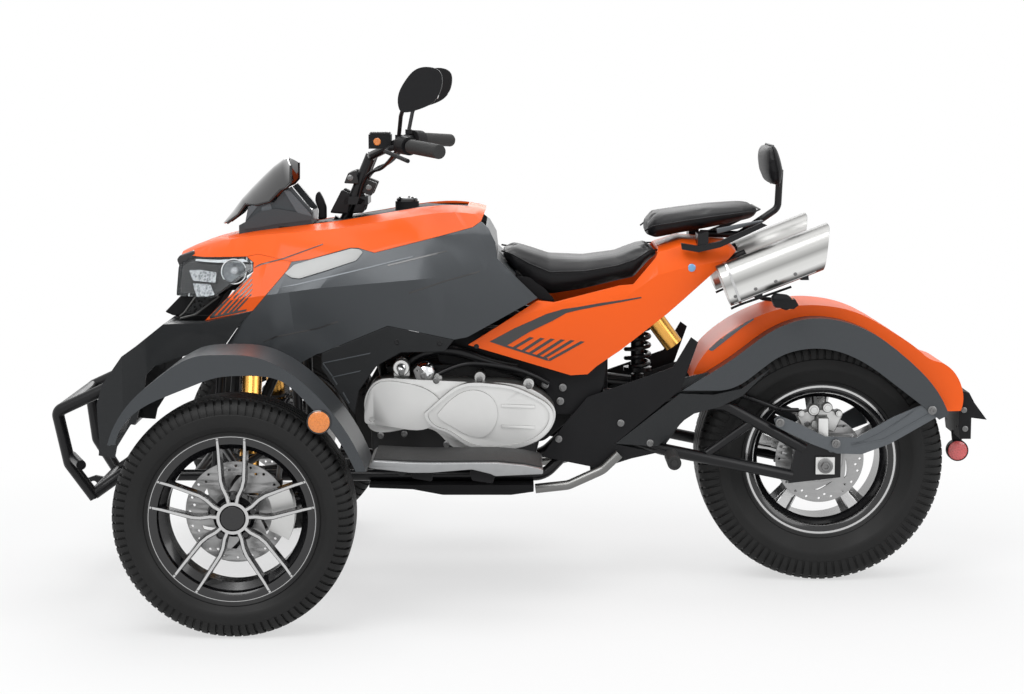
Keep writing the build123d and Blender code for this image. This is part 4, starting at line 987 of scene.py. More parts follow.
class TRIKE_OT_wheels(bpy.types.Operator):
    """Build the rims, their machined faces, the drilled discs and the wheel bolts."""
    bl_idname = "trike.wheels"
    bl_label = "Wheels"

    def barrel(self, half, axle):
        flange, bead, well, wall = 0.193, 0.178, 0.162, 0.006
        outer = [(flange, -half), (flange - 0.001, -half + 0.004), (bead, -half + 0.009), (bead, -half + 0.028),
                 (well, -half + 0.040)]
        outer = outer + [(r, -y) for r, y in reversed(outer)]
        inner = [(flange - 0.009, -half), (bead - wall, -half + 0.007), (bead - wall - 0.001, -half + 0.028),
                 (well - wall, -half + 0.042)]
        inner = [(r, -y) for r, y in inner] + list(reversed(inner))
        return lathe(outer + inner, axle, 120)

    def beam(self, path, face_y, depth, axle, proud=0.0):
        """A spoke along (radius, across, width) stations in the wheel's plane, with sloped flanks."""
        mesh = bmesh.new()
        rings = []
        for i, (r, across, width, *rise) in enumerate(path):
            before, after = path[max(i - 1, 0)], path[min(i + 1, len(path) - 1)]
            way = Vector((after[0] - before[0], after[1] - before[1])).normalized()
            aside = Vector((-way.y, way.x))
            at = Vector((r, across))
            ring = []
            top = face_y + sum(rise)
            for share, y in ((-0.5, top), (0.5, top), (0.85, face_y - depth), (-0.85, face_y - depth)):
                p = at + aside * width * share
                ring.append(mesh.verts.new((axle[0] + p.y, axle[1] + y + proud, axle[2] + p.x)))
            rings.append(ring)
        grid_faces(mesh, rings)
        mesh.faces.new(rings[0][::-1])
        mesh.faces.new(rings[-1])
        return mesh

    def front_pattern(self, axle, face, inset=0.0, depth=0.020, proud=0.0):
        """One pair of V-spokes: together at the hub, bent, then side by side out to the rim."""
        both = bmesh.new()
        for sign in (1, -1):
            path = [(0.030, sign * 0.008, 0.0085 - inset), (0.050, sign * 0.0125, 0.0085 - inset),
                    (0.070, sign * 0.022, 0.0085 - inset), (0.088, sign * 0.0265, 0.0085 - inset),
                    (0.160, sign * 0.0300, 0.0075 - inset, 0.004), (0.186, sign * 0.0310, 0.0070 - inset, 0.0125)]
            join(both, self.beam(path, face, depth, axle, proud))
        return both

    def rear_pattern(self, axle, face, inset=0.0, depth=0.034, proud=0.0):
        path = [(0.034, 0.0, 0.036 - inset), (0.060, 0.0, 0.030 - inset), (0.120, 0.0, 0.031 - inset),
                (0.166, 0.0, 0.040 - inset, 0.010)]
        return self.beam(path, face, depth, axle, proud)

    def disc(self, radius, hub, y, axle, thick=0.005):
        """A drilled brake disc with slots."""
        outlines = [circle(axle[0], axle[2], radius, 96), circle(axle[0], axle[2], hub, 40)]
        for i in range(10):
            for k, (r, offset) in enumerate(((radius - 0.010, 0.0), (radius - 0.019, 0.16), (radius - 0.010, 0.31))):
                angle = 2 * math.pi * i / 10 + offset
                outlines.append(circle(axle[0] + r * math.cos(angle), axle[2] + r * math.sin(angle), 0.0032, 10))
        for i in range(6):
            start = 2 * math.pi * i / 6
            slot = [(hub + 0.009 + (radius - hub - 0.040) * k / 6, start + 0.55 * (k / 6) ** 0.7) for k in range(7)]
            back = [(r, a + 0.13) for r, a in reversed(slot)]
            outlines.append([(axle[0] + r * math.cos(a), axle[2] + r * math.sin(a)) for r, a in slot + back])
        return to_side(sheet_with_holes(outlines, thick, 0.0004, 1), axle[1] + y)

    def bolts(self, circle_radius, y, axle, count, size=0.0075, finish="rim_black"):
        mesh = bmesh.new()
        join(mesh, lathe([(0.0, 0.0), (size * 1.5, 0.0), (size * 1.5, 0.002), (size, 0.0035), (size, 0.011),
                          (size * 0.7, 0.0135), (0.0, 0.0135)][1:-1] + [(0.0005, 0.0135), (0.0005, 0.0)],
                         (axle[0], axle[1] + y, axle[2] + circle_radius), 16))
        return ringed(mesh, count, axle, finish)

    def execute(self, context):
        spoke_face = 0.055
        for hand, side in HANDS:
            body = f"wheel_front_{hand}"
            axle = FRONT_AXLE.copy()
            rim = self.barrel(0.067, axle)
            join(rim, lathe([(0.003, 0.040), (0.040, 0.040), (0.048, 0.030), (0.048, -0.012), (0.034, -0.020),
                             (0.034, -0.024), (0.0145, -0.024), (0.0145, 0.034), (0.003, 0.034)], axle, 64))
            spokes = ringed(self.front_pattern(axle, spoke_face), 5, axle, "rim_black")
            rim.from_mesh(spokes)
            black = bpy.data.meshes.new("rim")
            bmesh.ops.recalc_face_normals(rim, faces=rim.faces)
            rim.to_mesh(black)
            rim.free()
            flip = side < 0
            piece(f"front_rim_{hand}_looks", moved_copy(black, flip=flip), "rim_black", body, "rim_black", 34,
                  (f"front_rim_{hand}",))
            faces = ringed(self.front_pattern(axle, spoke_face, 0.0022, 0.003, 0.0008), 5, axle, "machined_face")
            lip = lathe([(0.1895, 0.0668), (0.1907, 0.0668), (0.1907, 0.0674), (0.1895, 0.0674)], axle, 96)
            lip.from_mesh(faces)
            join(lip, lathe([(0.030, spoke_face - 0.002), (0.037, spoke_face - 0.002), (0.037, spoke_face + 0.0012),
                             (0.030, spoke_face + 0.0012)], axle, 64))
            bright = bpy.data.meshes.new("faces")
            lip.to_mesh(bright)
            lip.free()
            piece(f"front_rim_{hand}_machined", moved_copy(bright, flip=flip), "machined_face", body, "cast_silver", 30)
            cap = lathe([(0.0005, spoke_face + 0.006), (0.018, spoke_face + 0.006), (0.027, spoke_face + 0.003),
                         (0.031, spoke_face - 0.004), (0.031, 0.035), (0.0005, 0.035)], axle, 48)
            data = bpy.data.meshes.new("cap")
            bmesh.ops.recalc_face_normals(cap, faces=cap.faces)
            cap.to_mesh(data)
            cap.free()
            piece(f"front_cap_{hand}", moved_copy(data, flip=flip), "rim_black", body, "rim_black")
            piece(f"front_bolts_{hand}", moved_copy(self.bolts(0.048, 0.038, axle, 5, 0.009), flip=flip), "rim_black", body)
            disc = self.disc(0.118, 0.040, -0.0215, axle)
            data = bpy.data.meshes.new("disc")
            bmesh.ops.recalc_face_normals(disc, faces=disc.faces)
            disc.to_mesh(data)
            disc.free()
            piece(f"front_disc_{hand}_looks", moved_copy(data, flip=flip), "disc_steel", body, "brushed_silver", 30,
                  (f"front_disc_{hand}",))

        axle = REAR_AXLE
        rim = self.barrel(0.082, axle)
        join(rim, lathe([(0.011, 0.058), (0.036, 0.058), (0.040, 0.054), (0.040, 0.020), (0.048, 0.016), (0.048, -0.020),
                         (0.036, -0.030), (0.036, -0.060), (0.011, -0.060)], axle, 64))
        rim.from_mesh(ringed(self.rear_pattern(axle, 0.030), 5, axle, "rim_black"))
        piece("rear_rim_looks", rim, "rim_black", REAR_WHEEL, "rim_black", 34, ("rear_rim",))
        bright = bmesh.new()
        bright.from_mesh(ringed(self.rear_pattern(axle, 0.030, 0.012, 0.002, 0.0010), 5, axle, "machined_face"))
        join(bright, lathe([(0.1850, 0.0818), (0.1900, 0.0818), (0.1900, 0.0826), (0.1850, 0.0826)], axle, 96))
        join(bright, lathe([(0.1690, 0.0700), (0.1712, 0.0745), (0.1716, 0.0745), (0.1696, 0.0700)], axle, 96))
        piece("rear_rim_machined", bright, "machined_face", REAR_WHEEL, "cast_silver", 30)
        disc = self.disc(0.112, 0.058, 0.0625, axle)
        join(disc, lathe([(0.0105, 0.0605), (0.064, 0.0605), (0.064, 0.0645), (0.034, 0.0665), (0.0105, 0.0665)], axle, 48))
        piece("rear_disc_looks", disc, "disc_steel", REAR_WHEEL, "brushed_silver", 30, ("rear_disc",))
        data = self.bolts(0.048, 0.0645, axle, 6, 0.005, "bolt_steel")
        piece("rear_disc_bolts", data, "bolt_steel", REAR_WHEEL)
        return {"FINISHED"}


class TRIKE_OT_bodywork(bpy.types.Operator):
    """Round the panels' edges and lay the stripes, badges, seam lines, painted crease shade and highlight, and screws
    on them.
    """
    bl_idname = "trike.bodywork"
    bl_label = "Bodywork"

    soft_panels = (
        ("hood", "orange_gloss"), ("side_cowls", "orange_gloss"), ("tail_body", "orange_gloss"),
        ("side_panels", "grey_metallic"), ("nose_fairing", "carbon_weave"), ("front_mudguards", "grey_metallic"),
        ("rear_arches", "grey_metallic"), ("rear_mudguard", "orange_gloss"), ("leg_panels", "leg_plastic"),
        ("console", "black_plastic"), ("belly_pan", "black_plastic"),
        ("frame_covers", "black_plastic"), ("swing_covers", "carbon_weave"), ("mudguard_stays", "grey_light"),
    )
    slot_of = {"grey_light": "grey_metallic", "leg_plastic": "black_plastic", "carbon_weave": "black_plastic"}
    badge = ((572, 799), (550, 819), (493, 836), (410, 858), (390, 856), (382, 849), (398, 830), (462, 809), (535, 787),
             (555, 789))
    fan_tips = ((652, 794, 757, 690, 9), (651, 783, 736, 695, 4), (650, 772, 721, 698, 4), (650, 760, 707, 701, 4),
                (651, 748, 694, 704, 4))
    fan_foot = ((757, 692), (757, 687), (666, 708), (664, 713))
    arrow = ((75, 628), (14, 661), (-31, 681), (-64, 696), (-105, 708), (-142, 713), (-195, 722), (-297, 736), (-298, 733),
             (-195, 715), (-142, 705), (-113, 698), (-81, 680), (-23, 652), (34, 617))
    arrow_low = ((75, 628), (34, 619), (-19, 601), (-71, 584), (-71, 579), (-64, 580), (-15, 597), (38, 615))
    # Low front end and high rear end of each slanted bar
    slants = ((19, 610, -29, 638), (-4, 603, -55, 636), (-22, 597, -80, 634),
              (-41, 591, -105, 632), (-57, 586, -129, 630), (-71, 581, -154, 627))
    # Dark lines on the panels: partly real seams, partly painted shade along the creases
    dark_lines = (((650, 813), (631, 821), (575, 835), (482, 868), (481, 866), (575, 832), (630, 818), (648, 810)),
                  ((323, 820), (179, 854), (178, 851), (320, 817)),
                  ((271, 754), (184, 783), (98, 806), (98, 802), (184, 779), (269, 750)),
                  ((625, 634), (595, 647), (543, 658), (492, 668), (445, 685), (440, 681), (492, 664), (543, 654), (595, 643),
                   (623, 631)))
    leg_lines = (((364, 606), (480, 582), (457, 549)), ((389, 562), (457, 547), (446, 528)), ((432, 509), (417, 481)))
    # A lighter line along the upper crease: a painted highlight
    bright_line = ((590, 765), (544, 774), (389, 810), (261, 841), (261, 838), (389, 807), (544, 771))

    def execute(self, context):
        bevel = context.scene.trike_sizes.bevel
        for node, finish in self.soft_panels:
            softened(node, finish, bevel, self.slot_of.get(finish, finish))
        skin = surface("hood", "side_cowls", "side_panels", "leg_panels")
        tail = surface("tail_body")
        side_plate("side_badges", [rounded_outline([Vector(p) for p in self.badge], 4)], 0, 2, "badge_plate", bevel=0.6,
                   bow=leaning(self.badge, skin, 0.8), slot="brushed_silver")
        fans = [list(self.fan_foot)]
        for x0, z0, x1, z1, wide in self.fan_tips:
            fans.append([(x0, z0), (x0 + 2, z0 + 2), (x1 + wide * 0.5, z1 + wide * 0.7), (x1 - wide * 0.5, z1 - wide * 0.2)])
        piece("cowl_stripes", laid(fans, skin, 0.3, 0.4), "stripe_black", CHASSIS, "black_plastic", 50)
        stripes = [self.arrow, self.arrow_low]
        for x0, z0, x1, z1 in self.slants:
            stripes.append([(x0 + 4, z0 + 1), (x1 + 5, z1 + 1), (x1 - 5, z1 - 1), (x0 - 4, z0 - 2)])
        piece("tail_stripes", laid(stripes, tail, 0.3, 0.4), "stripe_black", CHASSIS, "black_plastic", 50)
        # Real seam lines, and painted shade along the creases
        piece("panel_lines", laid(list(self.dark_lines), skin, 0.2, 0.4), "stripe_black", CHASSIS, "black_plastic", 50)
        # Painted highlight along the upper crease
        piece("panel_creases", laid([self.bright_line], skin, 0.2, 0.6), "grey_light", CHASSIS, "grey_metallic", 50)
        marks = [[*line, *[(x + 2, z - 3) for x, z in reversed(line)]] for line in self.leg_lines]
        piece("leg_panel_marks", laid(marks, skin, 0.3, 0.8), "grey_light", CHASSIS, "black_plastic", 50)
        screws = bmesh.new()
        for x, z, host in ((107, 616, tail), (512, 590, skin), (300, 632, skin), (196, 629, skin), (640, 612, skin)):
            hit = host.ray_cast(Vector((x * MM, 0.9, z * MM)), Vector((0, -1, 0)))[0]
            if hit is None:
                continue
            join(screws, lathe([(0.0004, 0.0016), (0.0022, 0.0014), (0.0050, 0.0022), (0.0062, 0.0012), (0.0064, -0.001),
                                (0.0004, -0.001)], hit, 18))
        mirrored(screws)
        piece("panel_screws", screws, "frame_black", CHASSIS, "frame_black")
        lock = bmesh.new()
        hit = tail.ray_cast(Vector((LOCK_PLACE[0], 0.9, LOCK_PLACE[1])), Vector((0, -1, 0)))[0]
        if hit:
            join(lock, lathe([(0.0004, 0.002), (0.0085, 0.002), (0.0098, 0.001), (0.0098, -0.001), (0.0004, -0.001)], hit, 28))
            piece("seat_lock", lock, "lock_blue", CHASSIS)
        return {"FINISHED"}


class TRIKE_OT_reflectors(bpy.types.Operator):
    """Build the amber reflectors on the front mudguards and their rims."""
    bl_idname = "trike.reflectors"
    bl_label = "Reflectors"

    def execute(self, context):
        amber = bmesh.new()
        at = Vector((0.453, 0.6680, 0.505))
        join(amber, lathe([(0.0004, 0.007), (0.022, 0.007), (0.0245, 0.005), (0.0245, 0.0), (0.0004, 0.0)], at, 40))
        mirrored(amber)
        piece("amber_reflectors", amber, "amber_lens", CHASSIS, None)
        ring = bmesh.new()
        join(ring, lathe([(0.0246, 0.0), (0.0246, 0.0055), (0.0275, 0.004), (0.0280, 0.0)], at, 40))
        mirrored(ring)
        piece("amber_reflector_rims", ring, "rim_black", CHASSIS, "rim_black")
        return {"FINISHED"}


class TRIKE_OT_seats(bpy.types.Operator):
    """Build the rider's seat, the passenger's seat and the back pad as stuffed vinyl with piping."""
    bl_idname = "trike.seats"
    bl_label = "Seats"

    rider = ((46, 829, 849, 96), (20, 796, 857, 122), (-24, 757, 843, 136), (-74, 731, 826, 142),
             (-160, 746, 822, 146), (-240, 766, 832, 146), (-285, 775, 850, 140), (-320, 816, 861, 128),
             (-343, 836, 852, 116))
    pillion = ((-311, 874, 908, 96), (-330, 870, 934, 118), (-400, 885, 944, 128), (-475, 899, 953, 130),
               (-550, 915, 958, 126), (-584, 922, 958, 112), (-596, 938, 951, 92))
    pad = ((1001, -650, -634, 84), (1010, -656, -618, 96), (1040, -660, -605, 108), (1070, -652, -602, 112),
           (1092, -645, -604, 100), (1102, -640, -610, 80))

    def loaf(self, stations, upright=False, sides=28, power=3.2):
        """A closed crowned form through (along, low, high, half width) stations."""
        mesh = bmesh.new()
        rings = []
        for along, low, high, half in stations:
            middle, rise = (low + high) / 2, (high - low) / 2
            ring = []
            for k in range(sides):
                angle = 2 * math.pi * k / sides
                c, s = math.cos(angle), math.sin(angle)
                a = half * math.copysign(abs(c) ** (2 / power), c)
                b = middle + rise * math.copysign(abs(s) ** (2 / power), s)
                crown = 1 - 0.10 * (a / half) ** 2 if s > 0 else 1
                b = middle + (b - middle) * crown
                point = (b, a, along) if upright else (along, a, b)
                ring.append(mesh.verts.new([v * MM for v in point]))
            rings.append(ring)
        grid_faces(mesh, rings)
        mesh.faces.new(rings[0][::-1])
        mesh.faces.new(rings[-1])
        bmesh.ops.recalc_face_normals(mesh, faces=mesh.faces)
        return mesh

    def stuffed(self, name, mesh, cap, shrink, voxel=0.006):
        """Swell a form a little with pressure, as foam does under a tight cover."""
        for v in mesh.verts:
            v.normal_update()
        for v in mesh.verts:
            v.co -= v.normal * shrink
        data = bpy.data.meshes.new(name)
        mesh.to_mesh(data)
        mesh.free()
        form = bpy.data.objects.new(name, data)
        bpy.context.scene.collection.objects.link(form)
        remesh = form.modifiers.new("even", "REMESH")
        remesh.mode, remesh.voxel_size = "VOXEL", voxel
        bpy.context.view_layer.update()
        even = bpy.data.meshes.new_from_object(form.evaluated_get(bpy.context.evaluated_depsgraph_get()))
        form.modifiers.clear()
        form.data = even
        start = [v.co.copy() for v in even.vertices]
        cloth = form.modifiers.new("foam", "CLOTH")
        cloth.settings.use_pressure, cloth.settings.uniform_pressure_force = True, 4.0
        cloth.settings.effector_weights.gravity = 0.0
        scene = bpy.context.scene
        for step in range(1, 21):
            scene.frame_set(step)
        swollen = bpy.data.meshes.new_from_object(form.evaluated_get(bpy.context.evaluated_depsgraph_get()))
        scene.frame_set(1)
        form.modifiers.clear()
        form.data = swollen
        for v, rest in zip(swollen.vertices, start):
            shift = v.co - rest
            if shift.length > cap:
                v.co = rest + shift.normalized() * cap
        bpy.data.objects.remove(form)
        return swollen

    def seam(self, stations, share, upright=False, power=3.2):
        """A piping line round the form at a share of its height."""
        points = []
        for sign in (1, -1):
            run = []
            for along, low, high, half in stations:
                middle, rise = (low + high) / 2, (high - low) / 2
                s = abs(share) ** (power / 2)
                c = (1 - s * s) ** 0.5
                a = (half + 0.4) * abs(c) ** (2 / power) * sign
                b = middle + rise * share
                run.append(Vector([v * MM for v in ((b, a, along) if upright else (along, a, b))]))
            points += run if sign > 0 else run[::-1]
        return points

    def execute(self, context):
        for name, stations, upright, node, cap, share in (
                ("rider_seat_pad", self.rider, False, "rider_seat", 0.005, 0.30),
                ("pillion_seat_pad", self.pillion, False, "pillion_seat", 0.004, 0.10),
                ("back_pad", self.pad, True, "backrest_pad", 0.004, -0.25)):
            mesh = self.stuffed(name, self.loaf(stations, upright), cap, cap * 0.8)
            mesh.materials.clear()
            mesh.materials.append(material("seat_cover"))
            cushion = piece(name, mesh, "seat_cover", CHASSIS, "seat_cover", 180, (node,))
            welt = pipe(self.seam(stations, share, upright), 0.0022, 10, smooth=False)
            piece(name + "_welt", welt, "seat_cover", CHASSIS, "seat_cover", 60)
            smooth = cushion.modifiers.new("smooth", "SUBSURF")
            smooth.levels = smooth.render_levels = 1
        return {"FINISHED"}
class TRIKE_OT_engine(bpy.types.Operator):
    """Round the drive cover's castings and build the housings, hoses and bolts round the engine."""
    bl_idname = "trike.engine"
    bl_label = "Engine"

    thermostat = (291, 196, 566)
    dome = (233, 200, 552)
    cover_bolts = ((290, 238, 556), (236, 238, 548), (205, 238, 536), (99, 238, 539), (-21, 238, 523),
                   (342, 236, 400), (284, 236, 404), (181, 237, 378), (79, 237, 371), (-30, 237, 388))
    frame_bolts = ((-62, 158, 514), (-106, 158, 507), (-100, 158, 473))
    backing = ((395, 480), (330, 600), (200, 640), (-90, 640), (-200, 520), (-120, 400), (-60, 350), (375, 345))
    seat_foot = ((22, 780), (-44, 723), (-90, 716), (-65, 747), (-24, 780))
    bracket = ((205, 650), (205, 570), (100, 556), (0, 536), (-66, 500), (-84, 440), (-150, 440), (-205, 500), (-222, 610),
               (-120, 650))
    board_top = ((358, 366), (347, 379), (259, 374), (214, 373), (56, 374), (-8, 368), (-53, 359), (-53, 348), (60, 343),
                 (69, 348), (114, 359), (211, 351), (259, 351), (353, 362))
    board_blocks = ((340, 355), (259, 347), (254, 334), (209, 327), (205, 346), (120, 354), (114, 329), (65, 322), (60, 340),
                    (-40, 345), (-40, 352), (340, 360))
    board_mat = ((346, 382), (259, 378), (214, 377), (56, 378), (-8, 372), (-50, 363), (-50, 358), (-8, 366), (56, 372),
                 (214, 371), (259, 372), (346, 376))

    def execute(self, context):
        softened("drive_cover", "cast_silver", 0.005, "cast_silver", segments=3)
        softened("engine", "cast_dark", 0.006, "cast_dark")
        bolts("cover_bolts", self.cover_bolts, 5.5, both=False)
        bolts("frame_bolts", self.frame_bolts, 6.5)
        for name, outline, y, thick, finish in (("frame_brackets", self.bracket, 150, 8, "black_plastic"),
                                                ("engine_backing", self.backing, 20, 30, "cast_dark"),
                                                ("seat_feet", self.seat_foot, 118, 6, "black_plastic")):
            side_plate(name, [rounded_outline([Vector(p) for p in outline], 14)], y, thick, finish, bevel=1.5, slot=finish)

        at = Vector(self.thermostat) * MM
        housing = lathe([(0.0004, 0.03), (0.011, 0.03), (0.012, 0.032), (0.0185, 0.032), (0.0205, 0.029), (0.0205, -0.05),
                         (0.0004, -0.05)], at, 40)
        foot = sheet_with_holes([millimetres(rounded_outline([(270, 540), (312, 540), (309, 572), (300, 588), (282, 588),
                                                              (272, 572)], 6))], 0.016, 0.002)
        join(housing, to_side(foot, at.y))
        piece("thermostat_housing", housing, "cast_silver", CHASSIS, "cast_silver", 35)
        centre = lathe([(0.0004, 0.031), (0.007, 0.034), (0.0105, 0.031), (0.0105, 0.028), (0.0004, 0.028)], at, 28)
        piece("thermostat_plug", centre, "lamp_chrome", CHASSIS)

        cap = bmesh.new()
        bmesh.ops.create_uvsphere(cap, u_segments=32, v_segments=16, radius=0.028,
                                  matrix=Matrix.Translation(Vector(self.dome) * MM))
        piece("breather_dome", cap, "lamp_chrome", CHASSIS)
        clamp = sheet_with_holes([millimetres(rounded_outline([(252, 530), (262, 560), (250, 572), (240, 566), (226, 532)], 4)),
                                  circle(0.2505, 0.560, 0.003, 14)], 0.005, 0.0008)
        piece("breather_clamp", to_side(clamp, 0.229), "bolt_steel", CHASSIS)

        hoses = pipe(millimetres([(290, 170, 560), (240, 176, 606), (150, 172, 602), (70, 168, 566), (10, 150, 556)]), 0.013)
        pipe(millimetres([(200, 205, 548), (150, 200, 574), (80, 196, 572), (-20, 190, 552), (-70, 170, 520)]), 0.006,
             10, hoses)
        pipe(millimetres([(340, 150, 540), (352, 176, 600), (300, 180, 628), (180, 160, 622)]), 0.010, 12, hoses)
        piece("engine_hoses", hoses, "frame_black", CHASSIS, "frame_black")
        for name, outline, finish, slot, swap in (
                ("footboard_tops", self.board_top, "board_silver", "cast_silver", ("footboards",)),
                ("footboard_blocks", self.board_blocks, "black_plastic", "black_plastic", ()),
                ("footboard_mats", self.board_mat, "grip_rubber", "grip_rubber", ())):
            side_plate(name, [rounded_outline([Vector(p) for p in outline], 4, 2)], 369 if swap else 361,
                       202 if swap else 180, finish, bevel=1.6, slot=slot, replaces=swap)
        return {"FINISHED"}


class TRIKE_OT_lamps(bpy.types.Operator):
    """Build the headlamps' clear lenses, bowls and housings, the grille and the brow."""
    bl_idname = "trike.lamps"
    bl_label = "Lamps and grille"

    bowl = (700, 800)
    back = ((835, 820), (780, 824), (676, 828), (657, 816), (657, 806), (694, 782), (744, 744), (836, 744))
    cells = (((816, 798), (790, 801), (743, 797), (744, 772), (804, 775)), ((804, 769), (757, 768), (745, 744), (791, 734)))
    strip = ((801, 825), (742, 826), (677, 830), (664, 824), (742, 820), (801, 821))
    mesh_panel = ((868, 667), (839, 690), (806, 736), (760, 736), (746, 729), (808, 682))
    brow = ((846, 806), (852, 822), (845, 832), (810, 845), (802, 826), (826, 816))

    def execute(self, context):
        skin = surface("headlamps")
        softened("headlamps", "lamp_glass", 0.003, "lamp_glass")
        x, z = (c * MM for c in self.bowl)
        hole = [(a / MM, b / MM) for a, b in circle(x, z, 0.029, 32)]
        piece("headlamp_backs", laid([self.back, hole], skin, -17, 2), "rim_black", CHASSIS, "rim_black", 30)
        piece("headlamp_prisms", laid([rounded_outline([Vector(p) for p in cell], 4) for cell in self.cells], skin, -11, 3),
              "lamp_prism", CHASSIS, "brushed_silver", 20)
        piece("daylight_strips", laid([self.strip], skin, -6, 3), "lamp_white", CHASSIS, None, 30)
        at = skin.ray_cast(Vector((x, 0.9, z)), Vector((0, -1, 0)))[0]
        bowls = lathe([(0.0290, -0.012), (0.0280, -0.020), (0.0240, -0.030), (0.0160, -0.038), (0.0080, -0.041),
                       (0.0004, -0.042), (0.0004, -0.046), (0.018, -0.043), (0.027, -0.033), (0.0315, -0.020),
                       (0.0315, -0.012)], at, 48)
        piece("headlamp_bowls", mirrored(bowls), "lamp_chrome", CHASSIS, "brushed_silver")
        bulbs = lathe([(0.0004, -0.018), (0.007, -0.020), (0.0095, -0.026), (0.0095, -0.040), (0.0004, -0.040)], at, 28)
        piece("headlamp_bulbs", mirrored(bulbs), "lamp_white", CHASSIS)
        softened("grille", "black_plastic", 0.003, "black_plastic")
        side_plate("nose_brow", [rounded_outline([Vector(p) for p in self.brow], 4)], 0, 236, "rim_black", both=False,
                   bevel=3, slot="rim_black")
        outline = rounded_outline([Vector(p) for p in self.mesh_panel], 5)
        side_plate("grille_mesh", [outline], 106, 3, "mesh_black", slot="black_plastic")
        side_plate("grille_edges", edging([outline], 4.5), 107, 6, "brushed_silver", bevel=1.2, slot="brushed_silver")
        return {"FINISHED"}
class TRIKE_OT_cockpit(bpy.types.Operator):
    """Build the windscreen, the instruments, the bar clamps, mirrors, grips and controls."""
    bl_idname = "trike.cockpit"
    bl_label = "Cockpit"

    # Centre line, then the side edge, then the half width there
    screen = ((748, 903, 736, 907, 36), (722, 935, 705, 930, 54), (698, 966, 684, 957, 74), (673, 993, 655, 956, 90),
              (645, 1021, 622, 965, 99), (618, 1046, 594, 994, 101), (596, 1062, 580, 1000, 102), (590, 1066, 569, 1012, 100),
              (582, 1068, 568, 1054, 94))
    post = ((590, 997), (571, 991), (515, 928), (547, 926))
    facets = (((685, 958), (649, 957), (685, 913)), ((643, 951), (620, 960), (616, 942), (643, 935)))
    hump = ((689, 896), (686, 912), (648, 940), (608, 947), (564, 940), (515, 927), (511, 920), (604, 909), (649, 900))
    display = ((594, 980), (590, 984), (524, 940), (528, 934))
    tab = ((507, 986), (515, 978), (517, 962), (508, 938), (510, 914), (489, 916), (489, 946), (497, 968))
    clamps = (((429, 1034), (410, 1040), (402, 1006), (440, 1008)), ((384, 1018), (358, 1008), (372, 976), (402, 988)))
    boots = (((476, 934), (446, 992), (424, 980), (430, 930)), ((404, 978), (382, 968), (392, 934), (420, 932)))

    def build_screen(self):
        mesh = bmesh.new()
        rows, across = [], 9
        for cx, cz, ex, ez, half in self.screen:
            row = []
            for k in range(-across, across + 1):
                u = abs(k) / across
                bend = u ** 1.8
                row.append(mesh.verts.new([v * MM for v in (cx + (ex - cx) * bend, half * math.copysign(u, k),
                                                           cz + (ez - cz) * bend)]))
            rows.append(row)
        grid_faces(mesh, rows, closed_ring=False)
        mesh.normal_update()
        thickened(mesh, lambda v: v.normal * 0.0035)
        piece("windscreen_shield", mesh, "dark_screen", CHASSIS, "dark_screen", 50, ("windscreen",))
        edge = bmesh.new()
        rim = [(ex - 1, half + 1.5, ez) for cx, cz, ex, ez, half in self.screen]
        pipe(millimetres(rim), 0.003, 10, edge, smooth=False)
        mirrored(edge)
        piece("windscreen_edges", edge, "rim_black", CHASSIS, "rim_black")

    def execute(self, context):
        self.build_screen()
        softened("instrument_cowl", "grey_metallic", 0.006, "grey_metallic", segments=3)
        cowl = surface("instrument_cowl")
        # The posts and facets are laid in the lighter grey as painted highlight where the cowl catches the light
        for name, outlines, lift, thick, finish in (("cowl_posts", [self.post], 3, 4, "grey_light"),
                                                    ("cowl_facets", self.facets, 1, 2, "grey_light"),
                                                    ("cowl_humps", [self.hump], 3, 5, "grey_metallic")):
            shapes = [rounded_outline([Vector(p) for p in outline], 5) for outline in outlines]
            piece(name, laid(shapes, cowl, lift, thick, fallback=0.09),
                  finish, CHASSIS, "grey_metallic", 30)
        side_plate("display", [self.display], 0, 128, "dark_screen", both=False, bevel=0.8, slot="dark_screen")
        side_plate("key_tab", [rounded_outline([Vector(p) for p in self.tab], 5)], 0, 30, "black_plastic", both=False,
                   bevel=5, slot="black_plastic")
        for i, outline in enumerate(self.clamps):
            side_plate(f"bar_clamp_{i}", [rounded_outline([Vector(p) for p in outline], 4)], 42, 34, "cast_dark", BARS,
                       bevel=2, slot="cast_dark")
        for i, outline in enumerate(self.boots):
            side_plate(f"riser_boot_{i}", [rounded_outline([Vector(p) for p in outline], 5)], 42, 32, "black_plastic", BARS,
                       bevel=4, slot="black_plastic")
        for node, finish, bevel in (("controls", "black_plastic", 0.004), ("mirrors", "black_plastic", 0.012),
                                    ("grips", "grip_rubber", 0.003), ("handlebar", "frame_black", 0.002)):
            softened(node, finish, bevel, finish, segments=4)

